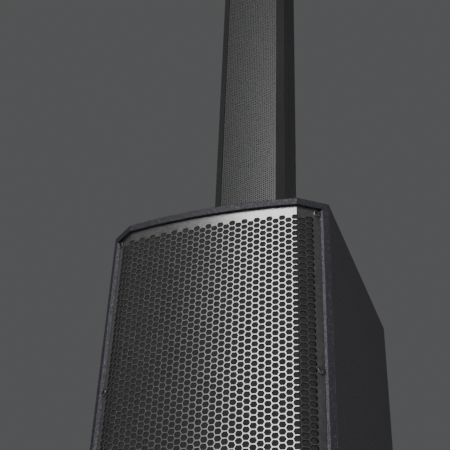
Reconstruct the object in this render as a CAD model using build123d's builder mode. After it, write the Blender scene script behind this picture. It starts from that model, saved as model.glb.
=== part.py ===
from build123d import *
import os
from math import cos, hypot, radians, sin, sqrt

os.makedirs("parts", exist_ok=True)

# ---------------------------------------------------------------------------
# Frame: millimetres, +Z up, the grilles face -Y, origin on the floor under the
# middle of the outer box. A bass cabinet carries two stacked column sections.
# ---------------------------------------------------------------------------

# Bass cabinet
CAB_W = 342.0               # outer width
CAB_D = 472.0               # outer depth
CAB_H = 756.0               # height of the wooden box
FOOT_H = 12.0               # rubber feet under it
WALL = 15.0                 # side and back panels
END_T = 11.0                # top and bottom panels, whose edges frame the grille
BOW_R = 809.0               # plan radius of the bowed front
BOW_HALF = 131.7            # half width of the bowed part, where the chamfers start
SIDE_SETBACK = 41.0         # how far the chamfers run back from the front's middle
STRIP_W = 9.4               # cabinet edge left beside the grille on each chamfer
CORNER_R = 3.0              # rounding where the chamfers meet the sides
LIP_SLOPE = 2.1             # how far the sloped lip leans over its depth
REBATE_W = 10.0             # ledge behind the grille's edge

# Bass grille
GRILLE_T = 1.5
GRILLE_RECESS = 5.0         # grille face behind the front band
GRILLE_GAP = 0.7            # clearance round the grille
FOAM_T = 5.0
SCREW_IN = 5.0              # screw axis from the grille's side edge
SCREW_DROP = 17.8           # top screw below the cabinet's top
SCREW_COUNT = 4             # per side
SCREW_HEAD_R = 5.2
SCREW_HEAD_T = 2.4
SCREW_SHANK_R = 2.0
SCREW_LENGTH = 16.0

# Bass drivers and ports
BAFFLE_Y = -176.0           # front face of the baffle
BAFFLE_T = 18.0
WOOFER_R = 131.0            # basket flange
WOOFER_CUT_R = 117.0
WOOFER_CONE_R = 98.0
WOOFER_ROLL_R = 114.0
WOOFER_DEPTH = 118.0
WOOFER_UP = 592.0           # height of the upper driver's axis
WOOFER_LOW = 320.0
MAGNET_R = 72.0
PORT_X = 84.0
PORT_Z = 104.0
PORT_R = 37.0
PORT_WALL = 3.0
PORT_LEN = 170.0
BRACE_Z = 456.0             # shelf brace between the woofers
BRACE_RIM = 48.0

# Side handles
HANDLE_Y = 66.0
HANDLE_Z = 348.0
HANDLE_W = 164.0
HANDLE_H = 92.0
HANDLE_DEPTH = 52.0
CUP_WALL = 3.0

# Rear amplifier
BACK_Y = 218.0              # outer face of the back panel, inside the rear edges
PLATE_W = 250.0
PLATE_H = 300.0
PLATE_T = 3.0
PLATE_Z = 520.0             # middle of the plate
AMP_CUT = 12.0              # how far the plate laps the back panel
AMP_ROOM = 68.0             # room kept free in front of the back panel
PLATE_SCREWS = 4            # rows of plate screws

# Column sections
COL_W = 127.0
COL_D = 92.0
COL_SETBACK = 176.0         # column grille behind the cabinet's front
COL_FACE = 100.0            # width of the column grille
COL_CHAMFER = 9.9           # depth of the column's front chamfers
COL_REAR_R = 8.0            # rounding of the column's rear corners
COL_WALL = 3.0
COL_END_T = 6.0
SECTION_H = 700.0
CAP_T = 5.0
FLANGE_T = 4.0              # column socket flange on the cabinet
SPIGOT_W = 70.0
SPIGOT_D = 40.0
SPIGOT_L = 58.0
SPIGOT_CLEAR = 0.4
WELL_WALL = 3.0
WELL_DEPTH = 62.0
MID_R = 46.0                # column driver frame
MID_COUNT = 5
MID_PITCH = 104.0
MID_FIRST = 66.0            # lowest driver above the section's bottom

# Derived places
FRONT_Y = -CAB_D / 2
REAR_Y = CAB_D / 2
SIDE_X = CAB_W / 2
BASE_Z = FOOT_H
TOP_Z = FOOT_H + CAB_H
INNER_X = SIDE_X - WALL
FLOOR_Z = BASE_Z + END_T
CEIL_Z = TOP_Z - END_T
BOW_Y = FRONT_Y + BOW_R
CORNER_Y = BOW_Y - sqrt(BOW_R ** 2 - BOW_HALF ** 2)
SIDE_CORNER_Y = FRONT_Y + SIDE_SETBACK
CHAMFER_LEN = hypot(SIDE_X - BOW_HALF, SIDE_CORNER_Y - CORNER_Y)
ALONG = ((SIDE_X - BOW_HALF) / CHAMFER_LEN, (SIDE_CORNER_Y - CORNER_Y) / CHAMFER_LEN)
INWARD = (-ALONG[1], ALONG[0])
COL_Y = FRONT_Y + COL_SETBACK
COL_MID_Y = COL_Y + COL_D / 2
COL_BACK_Y = COL_Y + COL_D
LOWER_Z = TOP_Z + FLANGE_T
UPPER_Z = LOWER_Z + SECTION_H


def save(builder, name):
    """Label a finished piece and write its STEP file."""
    builder.part.label = name
    export_step(builder.part, f"parts/{name}.step")


def chamfer_point(along, inset, side=1):
    """Point on the front chamfer: `along` from its inner corner, `inset` behind its face."""
    x = BOW_HALF + ALONG[0] * along + INWARD[0] * inset
    y = CORNER_Y + ALONG[1] * along + INWARD[1] * inset
    return (side * x, y)


def bow_corner(inset, side=1):
    """Where the bow and the chamfer meet, both moved back by `inset`."""
    px, py = chamfer_point(0, inset)
    radius = BOW_R - inset
    dy = py - BOW_Y
    half_b = px * ALONG[0] + dy * ALONG[1]
    reach = -half_b - sqrt(half_b ** 2 - (px ** 2 + dy ** 2 - radius ** 2))
    far = -half_b + sqrt(half_b ** 2 - (px ** 2 + dy ** 2 - radius ** 2))
    run = reach if abs(reach) < abs(far) else far
    return (side * (px + ALONG[0] * run), py + ALONG[1] * run)


def front_band(inset, thickness, reach):
    """Closed outline of a bowed and folded sheet, `reach` long on each chamfer."""
    front = [bow_corner(inset, -1), (0, FRONT_Y + inset), bow_corner(inset)]
    back = inset + thickness
    rear = [bow_corner(back), (0, FRONT_Y + back), bow_corner(back, -1)]
    ThreePointArc(*front)
    Polyline(front[2], chamfer_point(reach, inset), chamfer_point(reach, back), rear[0])
    ThreePointArc(*rear)
    Polyline(rear[2], chamfer_point(reach, back, -1), chamfer_point(reach, inset, -1), front[0])


def cabinet_outline():
    """Plan outline of the cabinet: bowed front, two chamfers, straight sides."""
    ThreePointArc((-BOW_HALF, CORNER_Y), (0, FRONT_Y), (BOW_HALF, CORNER_Y))
    Polyline((BOW_HALF, CORNER_Y), (SIDE_X, SIDE_CORNER_Y), (SIDE_X, REAR_Y),
             (-SIDE_X, REAR_Y), (-SIDE_X, SIDE_CORNER_Y), (-BOW_HALF, CORNER_Y))


def corner_uprights(builder):
    """Upright edges of a panel where the front chamfers meet the cabinet's sides."""
    uprights = builder.edges().filter_by(Axis.Z)
    return uprights.filter_by(lambda edge: abs(abs(edge.center().X) - SIDE_X) < 0.01
                              and abs(edge.center().Y - SIDE_CORNER_Y) < 0.01)


def cylinder_y(radius, y0, y1, x, z, mode=Mode.ADD):
    """Cylinder along Y between two planes, inside the active part."""
    with Locations(Location((x, (y0 + y1) / 2, z), (90, 0, 0))):
        Cylinder(radius, y1 - y0, mode=mode)


def box_between(low, high, mode=Mode.ADD):
    """Box between two corners, inside the active part."""
    size = [abs(b - a) for a, b in zip(low, high)]
    middle = tuple((a + b) / 2 for a, b in zip(low, high))
    with Locations(middle):
        Box(*size, mode=mode)


# ---------------------------------------------------------------------------
# Cabinet panels
# ---------------------------------------------------------------------------
WELL_OUT_W = SPIGOT_W + 2 * SPIGOT_CLEAR + 2 * WELL_WALL
WELL_OUT_D = SPIGOT_D + 2 * SPIGOT_CLEAR + 2 * WELL_WALL

with BuildPart() as top_panel:
    with BuildSketch(Plane.XY.offset(CEIL_Z)):
        with BuildLine():
            cabinet_outline()
        make_face()
        with Locations((0, COL_MID_Y)):
            Rectangle(WELL_OUT_W + 1, WELL_OUT_D + 1, mode=Mode.SUBTRACT)
    extrude(amount=END_T)
    fillet(corner_uprights(top_panel), CORNER_R)
    fillet(top_panel.faces().sort_by(Axis.Z)[-1].outer_wire().edges(), 1.5)
save(top_panel, "top_panel")

with BuildPart() as bottom_panel:
    with BuildSketch(Plane.XY.offset(BASE_Z)):
        with BuildLine():
            cabinet_outline()
        make_face()
    extrude(amount=END_T)
    fillet(corner_uprights(bottom_panel), CORNER_R)
    fillet(bottom_panel.faces().sort_by(Axis.Z)[0].outer_wire().edges(), 1.5)
save(bottom_panel, "bottom_panel")

STRIP_IN = CHAMFER_LEN - STRIP_W            # lip edge, measured along the chamfer
LIP_BASE = STRIP_IN - LIP_SLOPE             # foot of the sloped lip
LEDGE = GRILLE_RECESS + GRILLE_T            # ledge depth behind the chamfer face
SCREW_AT = LIP_BASE - GRILLE_GAP - SCREW_IN
SCREW_PITCH = (CAB_H - 2 * SCREW_DROP) / (SCREW_COUNT - 1)
SCREW_MID_Z = BASE_Z + CAB_H / 2


def facet_plane(side, inset):
    """Plane on a chamfer at the screw line, facing out of the cabinet."""
    x, y = chamfer_point(SCREW_AT, inset, side)
    return Plane(origin=(x, y, SCREW_MID_Z), x_dir=(side * ALONG[0], ALONG[1], 0),
                 z_dir=(-side * INWARD[0], -INWARD[1], 0))


for side, name in ((-1, "left_panel"), (1, "right_panel")):
    with BuildPart() as side_panel:
        with BuildSketch(Plane.XY.offset(FLOOR_Z)):
            with BuildLine():
                Polyline((side * SIDE_X, SIDE_CORNER_Y), chamfer_point(STRIP_IN, 0, side),
                         chamfer_point(LIP_BASE, GRILLE_RECESS, side),
                         chamfer_point(LIP_BASE, LEDGE, side),
                         chamfer_point(LIP_BASE - REBATE_W, LEDGE, side),
                         chamfer_point(LIP_BASE - REBATE_W, LEDGE + 8, side),
                         (side * INNER_X, BAFFLE_Y - 2), (side * INNER_X, REAR_Y),
                         (side * SIDE_X, REAR_Y), close=True)
            make_face()
        extrude(amount=CEIL_Z - FLOOR_Z)
        fillet(corner_uprights(side_panel), CORNER_R)
        with BuildSketch(facet_plane(side, LEDGE)):
            with GridLocations(1, SCREW_PITCH, 1, SCREW_COUNT):
                Circle(SCREW_SHANK_R)
        extrude(amount=-SCREW_LENGTH, mode=Mode.SUBTRACT)
        box_between((side * INNER_X - side * 1, HANDLE_Y - HANDLE_W / 2, HANDLE_Z - HANDLE_H / 2),
                    (side * SIDE_X + side * 1, HANDLE_Y + HANDLE_W / 2, HANDLE_Z + HANDLE_H / 2),
                    mode=Mode.SUBTRACT)
    save(side_panel, name)

AMP_HOLE_W = PLATE_W - 2 * AMP_CUT
AMP_HOLE_H = PLATE_H - 2 * AMP_CUT

with BuildPart() as back_panel:
    box_between((-INNER_X, BACK_Y - WALL, FLOOR_Z), (INNER_X, BACK_Y, CEIL_Z))
    box_between((-AMP_HOLE_W / 2, BACK_Y - WALL - 1, PLATE_Z - AMP_HOLE_H / 2),
                (AMP_HOLE_W / 2, BACK_Y + 1, PLATE_Z + AMP_HOLE_H / 2), mode=Mode.SUBTRACT)
save(back_panel, "back_panel")

with BuildPart() as baffle:
    box_between((-INNER_X, BAFFLE_Y, FLOOR_Z), (INNER_X, BAFFLE_Y + BAFFLE_T, CEIL_Z))
    for height in (WOOFER_UP, WOOFER_LOW):
        cylinder_y(WOOFER_CUT_R, BAFFLE_Y - 1, BAFFLE_Y + BAFFLE_T + 1, 0, height, Mode.SUBTRACT)
    for side in (-1, 1):
        cylinder_y(PORT_R + PORT_WALL, BAFFLE_Y - 1, BAFFLE_Y + BAFFLE_T + 1, side * PORT_X, PORT_Z,
                   Mode.SUBTRACT)
save(baffle, "baffle")

BRACE_FRONT = BAFFLE_Y + BAFFLE_T
BRACE_BACK = BACK_Y - WALL - AMP_ROOM
with BuildPart() as brace:
    with BuildSketch(Plane.XY.offset(BRACE_Z - WALL / 2)):
        with Locations((0, (BRACE_FRONT + BRACE_BACK) / 2)):
            Rectangle(2 * INNER_X, BRACE_BACK - BRACE_FRONT)
            RectangleRounded(2 * INNER_X - 2 * BRACE_RIM, BRACE_BACK - BRACE_FRONT - 2 * BRACE_RIM, 20,
                             mode=Mode.SUBTRACT)
    extrude(amount=WALL)
save(brace, "brace")

for side, name in ((-1, "port_left"), (1, "port_right")):
    with BuildPart() as port:
        cylinder_y(PORT_R + PORT_WALL, BAFFLE_Y, BAFFLE_Y + PORT_LEN, side * PORT_X, PORT_Z)
        cylinder_y(PORT_R, BAFFLE_Y - 1, BAFFLE_Y + PORT_LEN + 1, side * PORT_X, PORT_Z, Mode.SUBTRACT)
        chamfer(port.edges().filter_by(GeomType.CIRCLE).group_by(Axis.Y)[0].sort_by(SortBy.LENGTH)[0], 2)
    save(port, name)

with BuildPart() as rubber_feet:
    with BuildSketch(Plane.XY):
        with Locations((0, 20)):
            with GridLocations(CAB_W - 70, CAB_D - 130, 2, 2):
                Circle(19)
    extrude(amount=FOOT_H, taper=-6)
save(rubber_feet, "rubber_feet")

# ---------------------------------------------------------------------------
# Bass grille: the bowed and folded sheet, its foam and its screws
# ---------------------------------------------------------------------------
GRILLE_REACH = LIP_BASE - GRILLE_GAP
GRILLE_LOW = FLOOR_Z + GRILLE_GAP
GRILLE_HIGH = CEIL_Z - GRILLE_GAP

with BuildPart() as sub_grille:
    with BuildSketch(Plane.XY.offset(GRILLE_LOW)):
        with BuildLine():
            front_band(GRILLE_RECESS, GRILLE_T, GRILLE_REACH)
        make_face()
    extrude(amount=GRILLE_HIGH - GRILLE_LOW)
    for side in (-1, 1):
        with BuildSketch(facet_plane(side, GRILLE_RECESS)):
            with GridLocations(1, SCREW_PITCH, 1, SCREW_COUNT):
                Circle(SCREW_SHANK_R)
        extrude(amount=-2 * GRILLE_T, mode=Mode.SUBTRACT)
save(sub_grille, "sub_grille")

with BuildPart() as grille_foam:
    with BuildSketch(Plane.XY.offset(GRILLE_LOW + 2)):
        with BuildLine():
            front_band(LEDGE + 0.3, FOAM_T, LIP_BASE - REBATE_W - 1.5)
        make_face()
    extrude(amount=GRILLE_HIGH - GRILLE_LOW - 4)
save(grille_foam, "grille_foam")

with BuildPart() as grille_screws:
    for side in (-1, 1):
        with BuildSketch(facet_plane(side, GRILLE_RECESS)):
            with GridLocations(1, SCREW_PITCH, 1, SCREW_COUNT):
                Circle(SCREW_HEAD_R)
        extrude(amount=SCREW_HEAD_T, taper=20)
        with BuildSketch(facet_plane(side, GRILLE_RECESS)):
            with GridLocations(1, SCREW_PITCH, 1, SCREW_COUNT):
                Circle(SCREW_SHANK_R)
        extrude(amount=-SCREW_LENGTH)
        with BuildSketch(facet_plane(side, GRILLE_RECESS - SCREW_HEAD_T)):
            with GridLocations(1, SCREW_PITCH, 1, SCREW_COUNT):
                RegularPolygon(2.2, 6)
        extrude(amount=-1.5, mode=Mode.SUBTRACT)
save(grille_screws, "grille_screws")

# ---------------------------------------------------------------------------
# Woofers: basket, magnet, surround and moving cone
# ---------------------------------------------------------------------------
for tag, height in (("upper", WOOFER_UP), ("lower", WOOFER_LOW)):
    axis_plane = Plane(origin=(0, BAFFLE_Y, height), x_dir=(1, 0, 0), z_dir=(0, 0, 1))
    spin = Axis((0, BAFFLE_Y, height), (0, 1, 0))

    with BuildPart() as basket:
        with BuildSketch(axis_plane):
            with BuildLine():
                Polyline((WOOFER_CONE_R + 4, -4), (WOOFER_R, -4), (WOOFER_R, 0), (WOOFER_CUT_R - 1, 0),
                         (WOOFER_CUT_R - 1, 20), (MAGNET_R - 6, WOOFER_DEPTH - 46),
                         (MAGNET_R - 6, WOOFER_DEPTH - 40), (30, WOOFER_DEPTH - 40),
                         (30, WOOFER_DEPTH - 43), (MAGNET_R - 10, WOOFER_DEPTH - 46),
                         (WOOFER_CUT_R - 5, 19), (WOOFER_CUT_R - 5, -1), (WOOFER_CONE_R + 4, -1),
                         close=True)
            make_face()
        revolve(axis=spin)
        # windows between the spokes
        with Locations(Location((0, BAFFLE_Y + 44, height), (-90, 0, 0))):
            with PolarLocations(96, 6):
                Box(36, 44, 34, mode=Mode.SUBTRACT)
    save(basket, f"{tag}_woofer_basket")

    with BuildPart() as magnet:
        cylinder_y(MAGNET_R, BAFFLE_Y + WOOFER_DEPTH - 40, BAFFLE_Y + WOOFER_DEPTH, 0, height)
        cylinder_y(18, BAFFLE_Y, BAFFLE_Y + WOOFER_DEPTH + 1, 0, height, Mode.SUBTRACT)
        chamfer(magnet.edges().filter_by(GeomType.CIRCLE).sort_by(SortBy.LENGTH)[-2:], 2)
    save(magnet, f"{tag}_woofer_magnet")

    with BuildPart() as surround:
        with BuildSketch(axis_plane):
            with BuildLine():
                roll_mid = (WOOFER_CONE_R + WOOFER_ROLL_R) / 2 + 1
                ThreePointArc((WOOFER_CONE_R + 0.6, -4.3), (roll_mid, -12.5), (WOOFER_ROLL_R + 4, -4.3))
                Line((WOOFER_ROLL_R + 4, -4.3), (WOOFER_ROLL_R + 1.5, -4.3))
                ThreePointArc((WOOFER_ROLL_R + 1.5, -4.3), (roll_mid, -10.6), (WOOFER_CONE_R + 2.6, -4.3))
                Line((WOOFER_CONE_R + 2.6, -4.3), (WOOFER_CONE_R + 0.6, -4.3))
            make_face()
        revolve(axis=spin)
    save(surround, f"{tag}_woofer_surround")

    with BuildPart() as cone:
        with BuildSketch(axis_plane):
            with BuildLine():
                Polyline((0, 12), (20, 15), (34, 22), (WOOFER_CONE_R, -5), (WOOFER_CONE_R, -3),
                         (32, 34), (25, 34), (25, 72), (23.5, 72), (23.5, 26), (18, 18), (0, 14),
                         close=True)
            make_face()
        revolve(axis=spin)
    save(cone, f"{tag}_woofer_cone")

# ---------------------------------------------------------------------------
# Side handles: recessed cups with a grip bar across the upper edge
# ---------------------------------------------------------------------------
for side, name in ((-1, "left_handle"), (1, "right_handle")):
    with BuildPart() as handle:
        outer = side * SIDE_X
        deep = side * (SIDE_X - HANDLE_DEPTH)
        low = (min(outer, deep), HANDLE_Y - HANDLE_W / 2 + 0.3, HANDLE_Z - HANDLE_H / 2 + 0.3)
        high = (max(outer, deep), HANDLE_Y + HANDLE_W / 2 - 0.3, HANDLE_Z + HANDLE_H / 2 - 0.3)
        box_between(low, high)
        fillet(handle.edges().filter_by(Axis.X), 6)
        box_between((min(outer + side * 2, deep + side * CUP_WALL), low[1] + CUP_WALL, low[2] + CUP_WALL),
                    (max(outer + side * 2, deep + side * CUP_WALL), high[1] - CUP_WALL, high[2] - CUP_WALL),
                    mode=Mode.SUBTRACT)
        # grip bar: a round rail across the cup, close behind the panel's face
        with BuildSketch(Plane(origin=(side * (SIDE_X - 13), low[1] + 1, HANDLE_Z + 18),
                               x_dir=(1, 0, 0), z_dir=(0, 1, 0))):
            Circle(10)
        extrude(amount=high[1] - low[1] - 2)
    save(handle, name)

# ---------------------------------------------------------------------------
# Rear amplifier: plate, cooler, boards and the things a hand or a plug meets
# ---------------------------------------------------------------------------
PLATE_Y = BACK_Y
FACE_Y = BACK_Y + PLATE_T           # outer face of the plate
rear_face = Plane(origin=(0, FACE_Y, PLATE_Z), x_dir=(-1, 0, 0), z_dir=(0, 1, 0))

INLET_AT = (70.0, -112.0)           # places on the plate, seen from behind
ROCKER_AT = (18.0, -112.0)
JACK_XS = (-82.0, -41.0, 0.0)
JACK_V = 62.0
JACK_R = 12.0
KNOB_XS = (-82.0, -41.0)
KNOB_V = 14.0
ENCODER_AT = (76.0, 14.0)
DISPLAY_AT = (64.0, 72.0)
BUTTON_AT = (30.0, 14.0)
KNOB_R = 8.5
KNOB_T = 12.0
ENCODER_R = 11.0
SHAFT_R = 3.0
PLATE_SCREW_PITCH = (PLATE_H - 16) / (PLATE_SCREWS - 1)


def plate_sketch(offset=0.0):
    """Sketch plane on the amplifier plate, `offset` outside its face."""
    return rear_face.offset(offset)


with BuildPart() as amp_plate:
    with BuildSketch(plate_sketch()):
        RectangleRounded(PLATE_W, PLATE_H, 8)
        with Locations(*[(x, JACK_V) for x in JACK_XS]):
            Circle(JACK_R + 0.1, mode=Mode.SUBTRACT)
        with Locations(*[(x, KNOB_V) for x in KNOB_XS], BUTTON_AT, ENCODER_AT):
            Circle(SHAFT_R + 0.5, mode=Mode.SUBTRACT)
        with Locations(INLET_AT):
            Rectangle(28.4, 21.4, mode=Mode.SUBTRACT)
        with Locations(ROCKER_AT):
            Rectangle(22.2, 28.2, mode=Mode.SUBTRACT)
        with Locations(DISPLAY_AT):
            Rectangle(66, 40, mode=Mode.SUBTRACT)
        with GridLocations(PLATE_W - 16, PLATE_SCREW_PITCH, 2, PLATE_SCREWS):
            Circle(2.3, mode=Mode.SUBTRACT)
    extrude(amount=-PLATE_T)
save(amp_plate, "amp_plate")

with BuildPart() as amp_screws:
    with BuildSketch(plate_sketch()):
        with GridLocations(PLATE_W - 16, PLATE_SCREW_PITCH, 2, PLATE_SCREWS):
            Circle(4.2)
    extrude(amount=2.2, taper=20)
    with BuildSketch(plate_sketch(2.2)):
        with GridLocations(PLATE_W - 16, PLATE_SCREW_PITCH, 2, PLATE_SCREWS):
            RegularPolygon(1.9, 6)
    extrude(amount=-1.4, mode=Mode.SUBTRACT)
    with BuildSketch(plate_sketch()):
        with GridLocations(PLATE_W - 16, PLATE_SCREW_PITCH, 2, PLATE_SCREWS):
            Circle(2.0)
    extrude(amount=-PLATE_T)
save(amp_screws, "amp_screws")

HEAT_FIN_COUNT = 9
with BuildPart() as heatsink:
    box_between((-100, PLATE_Y - 24, PLATE_Z - 100), (100, PLATE_Y - 18, PLATE_Z - 30))
    for index in range(HEAT_FIN_COUNT):
        fin_x = -96 + 24 * index
        box_between((fin_x - 1.5, PLATE_Y - 62, PLATE_Z - 100), (fin_x + 1.5, PLATE_Y - 24, PLATE_Z - 30))
    box_between((-100, PLATE_Y - 18, PLATE_Z - 85), (-90, PLATE_Y, PLATE_Z - 80))
    box_between((90, PLATE_Y - 18, PLATE_Z - 85), (100, PLATE_Y, PLATE_Z - 80))
save(heatsink, "amp_heatsink")

with BuildPart() as amp_board:
    box_between((-106, PLATE_Y - 36, PLATE_Z - 24), (106, PLATE_Y - 34, PLATE_Z + 128))
    for part_x, part_z in ((-60, 110), (0, 100), (60, 112)):
        box_between((part_x - 12, PLATE_Y - 58, PLATE_Z + part_z - 10),
                    (part_x + 12, PLATE_Y - 36, PLATE_Z + part_z + 10))
    for post_x, post_z in ((-103, 120), (103, 120), (-103, -18), (103, -18)):
        cylinder_y(2.5, PLATE_Y - 34, PLATE_Y, post_x, PLATE_Z + post_z)
save(amp_board, "amp_board")

with BuildPart() as power_supply:
    box_between((24, PLATE_Y - 60, PLATE_Z - 135), (104, PLATE_Y, PLATE_Z - 104))
save(power_supply, "power_supply")

with BuildPart() as mains_inlet:
    with BuildSketch(plate_sketch()):
        with Locations(INLET_AT):
            RectangleRounded(48, 28, 5)
            Rectangle(24, 16, mode=Mode.SUBTRACT)
    extrude(amount=3)
    with BuildSketch(plate_sketch()):
        with Locations(INLET_AT):
            Rectangle(28, 21)
            Rectangle(24, 16, mode=Mode.SUBTRACT)
    extrude(amount=-22)
    with BuildSketch(plate_sketch(-22)):
        with Locations(INLET_AT):
            Rectangle(28, 21)
    extrude(amount=-2)
    with BuildSketch(plate_sketch(-22)):
        with Locations((INLET_AT[0], INLET_AT[1] + 3), (INLET_AT[0] - 7, INLET_AT[1] - 2),
                       (INLET_AT[0] + 7, INLET_AT[1] - 2)):
            Rectangle(2, 4)
    extrude(amount=17)
save(mains_inlet, "mains_inlet")

with BuildPart() as switch_frame:
    with BuildSketch(plate_sketch()):
        with Locations(ROCKER_AT):
            RectangleRounded(27, 33, 2)
            Rectangle(18, 24, mode=Mode.SUBTRACT)
    extrude(amount=2)
    with BuildSketch(plate_sketch()):
        with Locations(ROCKER_AT):
            Rectangle(21.6, 27.6)
            Rectangle(18, 24, mode=Mode.SUBTRACT)
    extrude(amount=-18)
save(switch_frame, "switch_frame")

ROCKER_TILT = 9.0
ROCKER_PIVOT_IN = 6.0               # pivot behind the plate's face
rocker_x = -ROCKER_AT[0]
rocker_z = PLATE_Z + ROCKER_AT[1]
lean = radians(ROCKER_TILT)
tilted = Plane(origin=(rocker_x - 8.6, FACE_Y - ROCKER_PIVOT_IN, rocker_z),
               x_dir=(0, cos(lean), -sin(lean)), z_dir=(1, 0, 0))
with BuildPart() as power_rocker:
    with BuildSketch(tilted):
        with BuildLine():
            Polyline((-4, -5), (5, -10.6), (8.2, -10.6))
            ThreePointArc((8.2, -10.6), (6.9, 0), (8.2, 10.6))
            Polyline((8.2, 10.6), (5, 10.6), (-4, 5), (-4, -5))
        make_face()
    extrude(amount=17.2)
save(power_rocker, "power_rocker")

with BuildPart() as line_jacks:
    for jack_x in JACK_XS:
        with BuildSketch(plate_sketch()):
            with Locations((jack_x, JACK_V)):
                RectangleRounded(26, 31, 3)
                Circle(9.6, mode=Mode.SUBTRACT)
        extrude(amount=2)
        with BuildSketch(plate_sketch()):
            with Locations((jack_x, JACK_V)):
                Circle(JACK_R)
                Circle(9.6, mode=Mode.SUBTRACT)
        extrude(amount=-22)
        with BuildSketch(plate_sketch(-22)):
            with Locations((jack_x, JACK_V)):
                Circle(JACK_R)
        extrude(amount=-2)
        with BuildSketch(plate_sketch(-22)):
            with Locations((jack_x, JACK_V)):
                Circle(4.6)
                Circle(3.2, mode=Mode.SUBTRACT)
        extrude(amount=8)
save(line_jacks, "line_jacks")


def knob(name, place, radius, height, flutes):
    """Round control knob on its shaft, standing on the plate."""
    with BuildPart() as turned:
        with BuildSketch(plate_sketch(0.8)):
            with Locations(place):
                Circle(radius)
        extrude(amount=height)
        fillet(turned.edges().filter_by(GeomType.CIRCLE).group_by(Axis.Y)[-1], 1.2)
        with BuildSketch(plate_sketch(0.8)):
            with Locations(place):
                with PolarLocations(radius + 0.5, flutes):
                    Circle(1.1)
        extrude(amount=height + 1, mode=Mode.SUBTRACT)
        with BuildSketch(plate_sketch(0.8)):
            with Locations(place):
                Circle(SHAFT_R)
        extrude(amount=-12)
    save(turned, name)


for index, knob_x in enumerate(KNOB_XS, start=1):
    knob(f"level_knob_{index}", (knob_x, KNOB_V), KNOB_R, KNOB_T, 12)
knob("menu_encoder", ENCODER_AT, ENCODER_R, KNOB_T, 20)

with BuildPart() as display_window:
    with BuildSketch(plate_sketch(-PLATE_T)):
        with Locations(DISPLAY_AT):
            Rectangle(65.4, 39.4)
    extrude(amount=PLATE_T + 0.6)
    fillet(display_window.faces().sort_by(Axis.Y)[-1].edges(), 0.5)
save(display_window, "display_window")

BUTTON_TRAVEL = 1.2
with BuildPart() as pairing_button:
    with BuildSketch(plate_sketch(BUTTON_TRAVEL + 0.3)):
        with Locations(BUTTON_AT):
            Circle(5.5)
    extrude(amount=2.5)
    fillet(pairing_button.edges().filter_by(GeomType.CIRCLE).group_by(Axis.Y)[-1], 0.8)
    with BuildSketch(plate_sketch(BUTTON_TRAVEL + 0.3)):
        with Locations(BUTTON_AT):
            Circle(SHAFT_R)
    extrude(amount=-10)
save(pairing_button, "pairing_button")

# ---------------------------------------------------------------------------
# Column: the socket on the cabinet and two identical sections
# ---------------------------------------------------------------------------


def socket(name, flange_z, flange_t, flange_sketch):
    """Flange with a closed rectangular well hanging below it."""
    with BuildPart() as receiver:
        with BuildSketch(Plane.XY.offset(flange_z)):
            flange_sketch()
        extrude(amount=flange_t)
        with BuildSketch(Plane.XY.offset(flange_z + flange_t)):
            with Locations((0, COL_MID_Y)):
                Rectangle(WELL_OUT_W, WELL_OUT_D)
        extrude(amount=-WELL_DEPTH - WELL_WALL)
        with BuildSketch(Plane.XY.offset(flange_z + flange_t)):
            with Locations((0, COL_MID_Y)):
                Rectangle(WELL_OUT_W - 2 * WELL_WALL, WELL_OUT_D - 2 * WELL_WALL)
        extrude(amount=-WELL_DEPTH, mode=Mode.SUBTRACT)
    save(receiver, name)


def column_plan():
    """Closed plan of a column section, sharp front corners and rounded rear ones."""
    half_w = COL_W / 2
    half_face = COL_FACE / 2
    plan = Polygon((-half_face, COL_Y), (half_face, COL_Y), (half_w, COL_Y + COL_CHAMFER),
                   (half_w, COL_BACK_Y), (-half_w, COL_BACK_Y), (-half_w, COL_Y + COL_CHAMFER),
                   align=None)
    fillet(plan.vertices().group_by(Axis.Y)[-1], COL_REAR_R)


def base_flange():
    """Flat plate that the column socket is screwed down by."""
    with Locations((0, COL_MID_Y + 2)):
        RectangleRounded(COL_W + 14, COL_D + 12, 6)


def profile(name, bottom, top):
    """Extruded shell of a section: open at the front, grooved sides, rounded rear corners."""
    half_w = COL_W / 2
    half_face = COL_FACE / 2
    slope = COL_CHAMFER / (half_w - half_face)
    slant = COL_WALL * hypot(1, slope)
    lip_y = COL_Y + slant
    inner_corner_y = COL_Y + slant + slope * (half_w - COL_WALL - half_face)
    with BuildPart() as shell:
        with BuildSketch(Plane.XY.offset(bottom)):
            with BuildLine():
                Polyline((half_face, COL_Y), (half_w, COL_Y + COL_CHAMFER), (half_w, COL_BACK_Y),
                         (-half_w, COL_BACK_Y), (-half_w, COL_Y + COL_CHAMFER), (-half_face, COL_Y),
                         (-half_face, lip_y), (-half_w + COL_WALL, inner_corner_y),
                         (-half_w + COL_WALL, COL_BACK_Y - COL_WALL),
                         (half_w - COL_WALL, COL_BACK_Y - COL_WALL),
                         (half_w - COL_WALL, inner_corner_y), (half_face, lip_y), close=True)
            make_face()
        extrude(amount=top - bottom)
        fillet(shell.edges().filter_by(Axis.Z).group_by(Axis.Y)[-1], COL_REAR_R)
        for side in (-1, 1):
            box_between((side * (half_w - 0.8), COL_Y + 38, bottom - 1),
                        (side * (half_w + 1), COL_Y + 39.2, top + 1), mode=Mode.SUBTRACT)
    save(shell, name)


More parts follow.
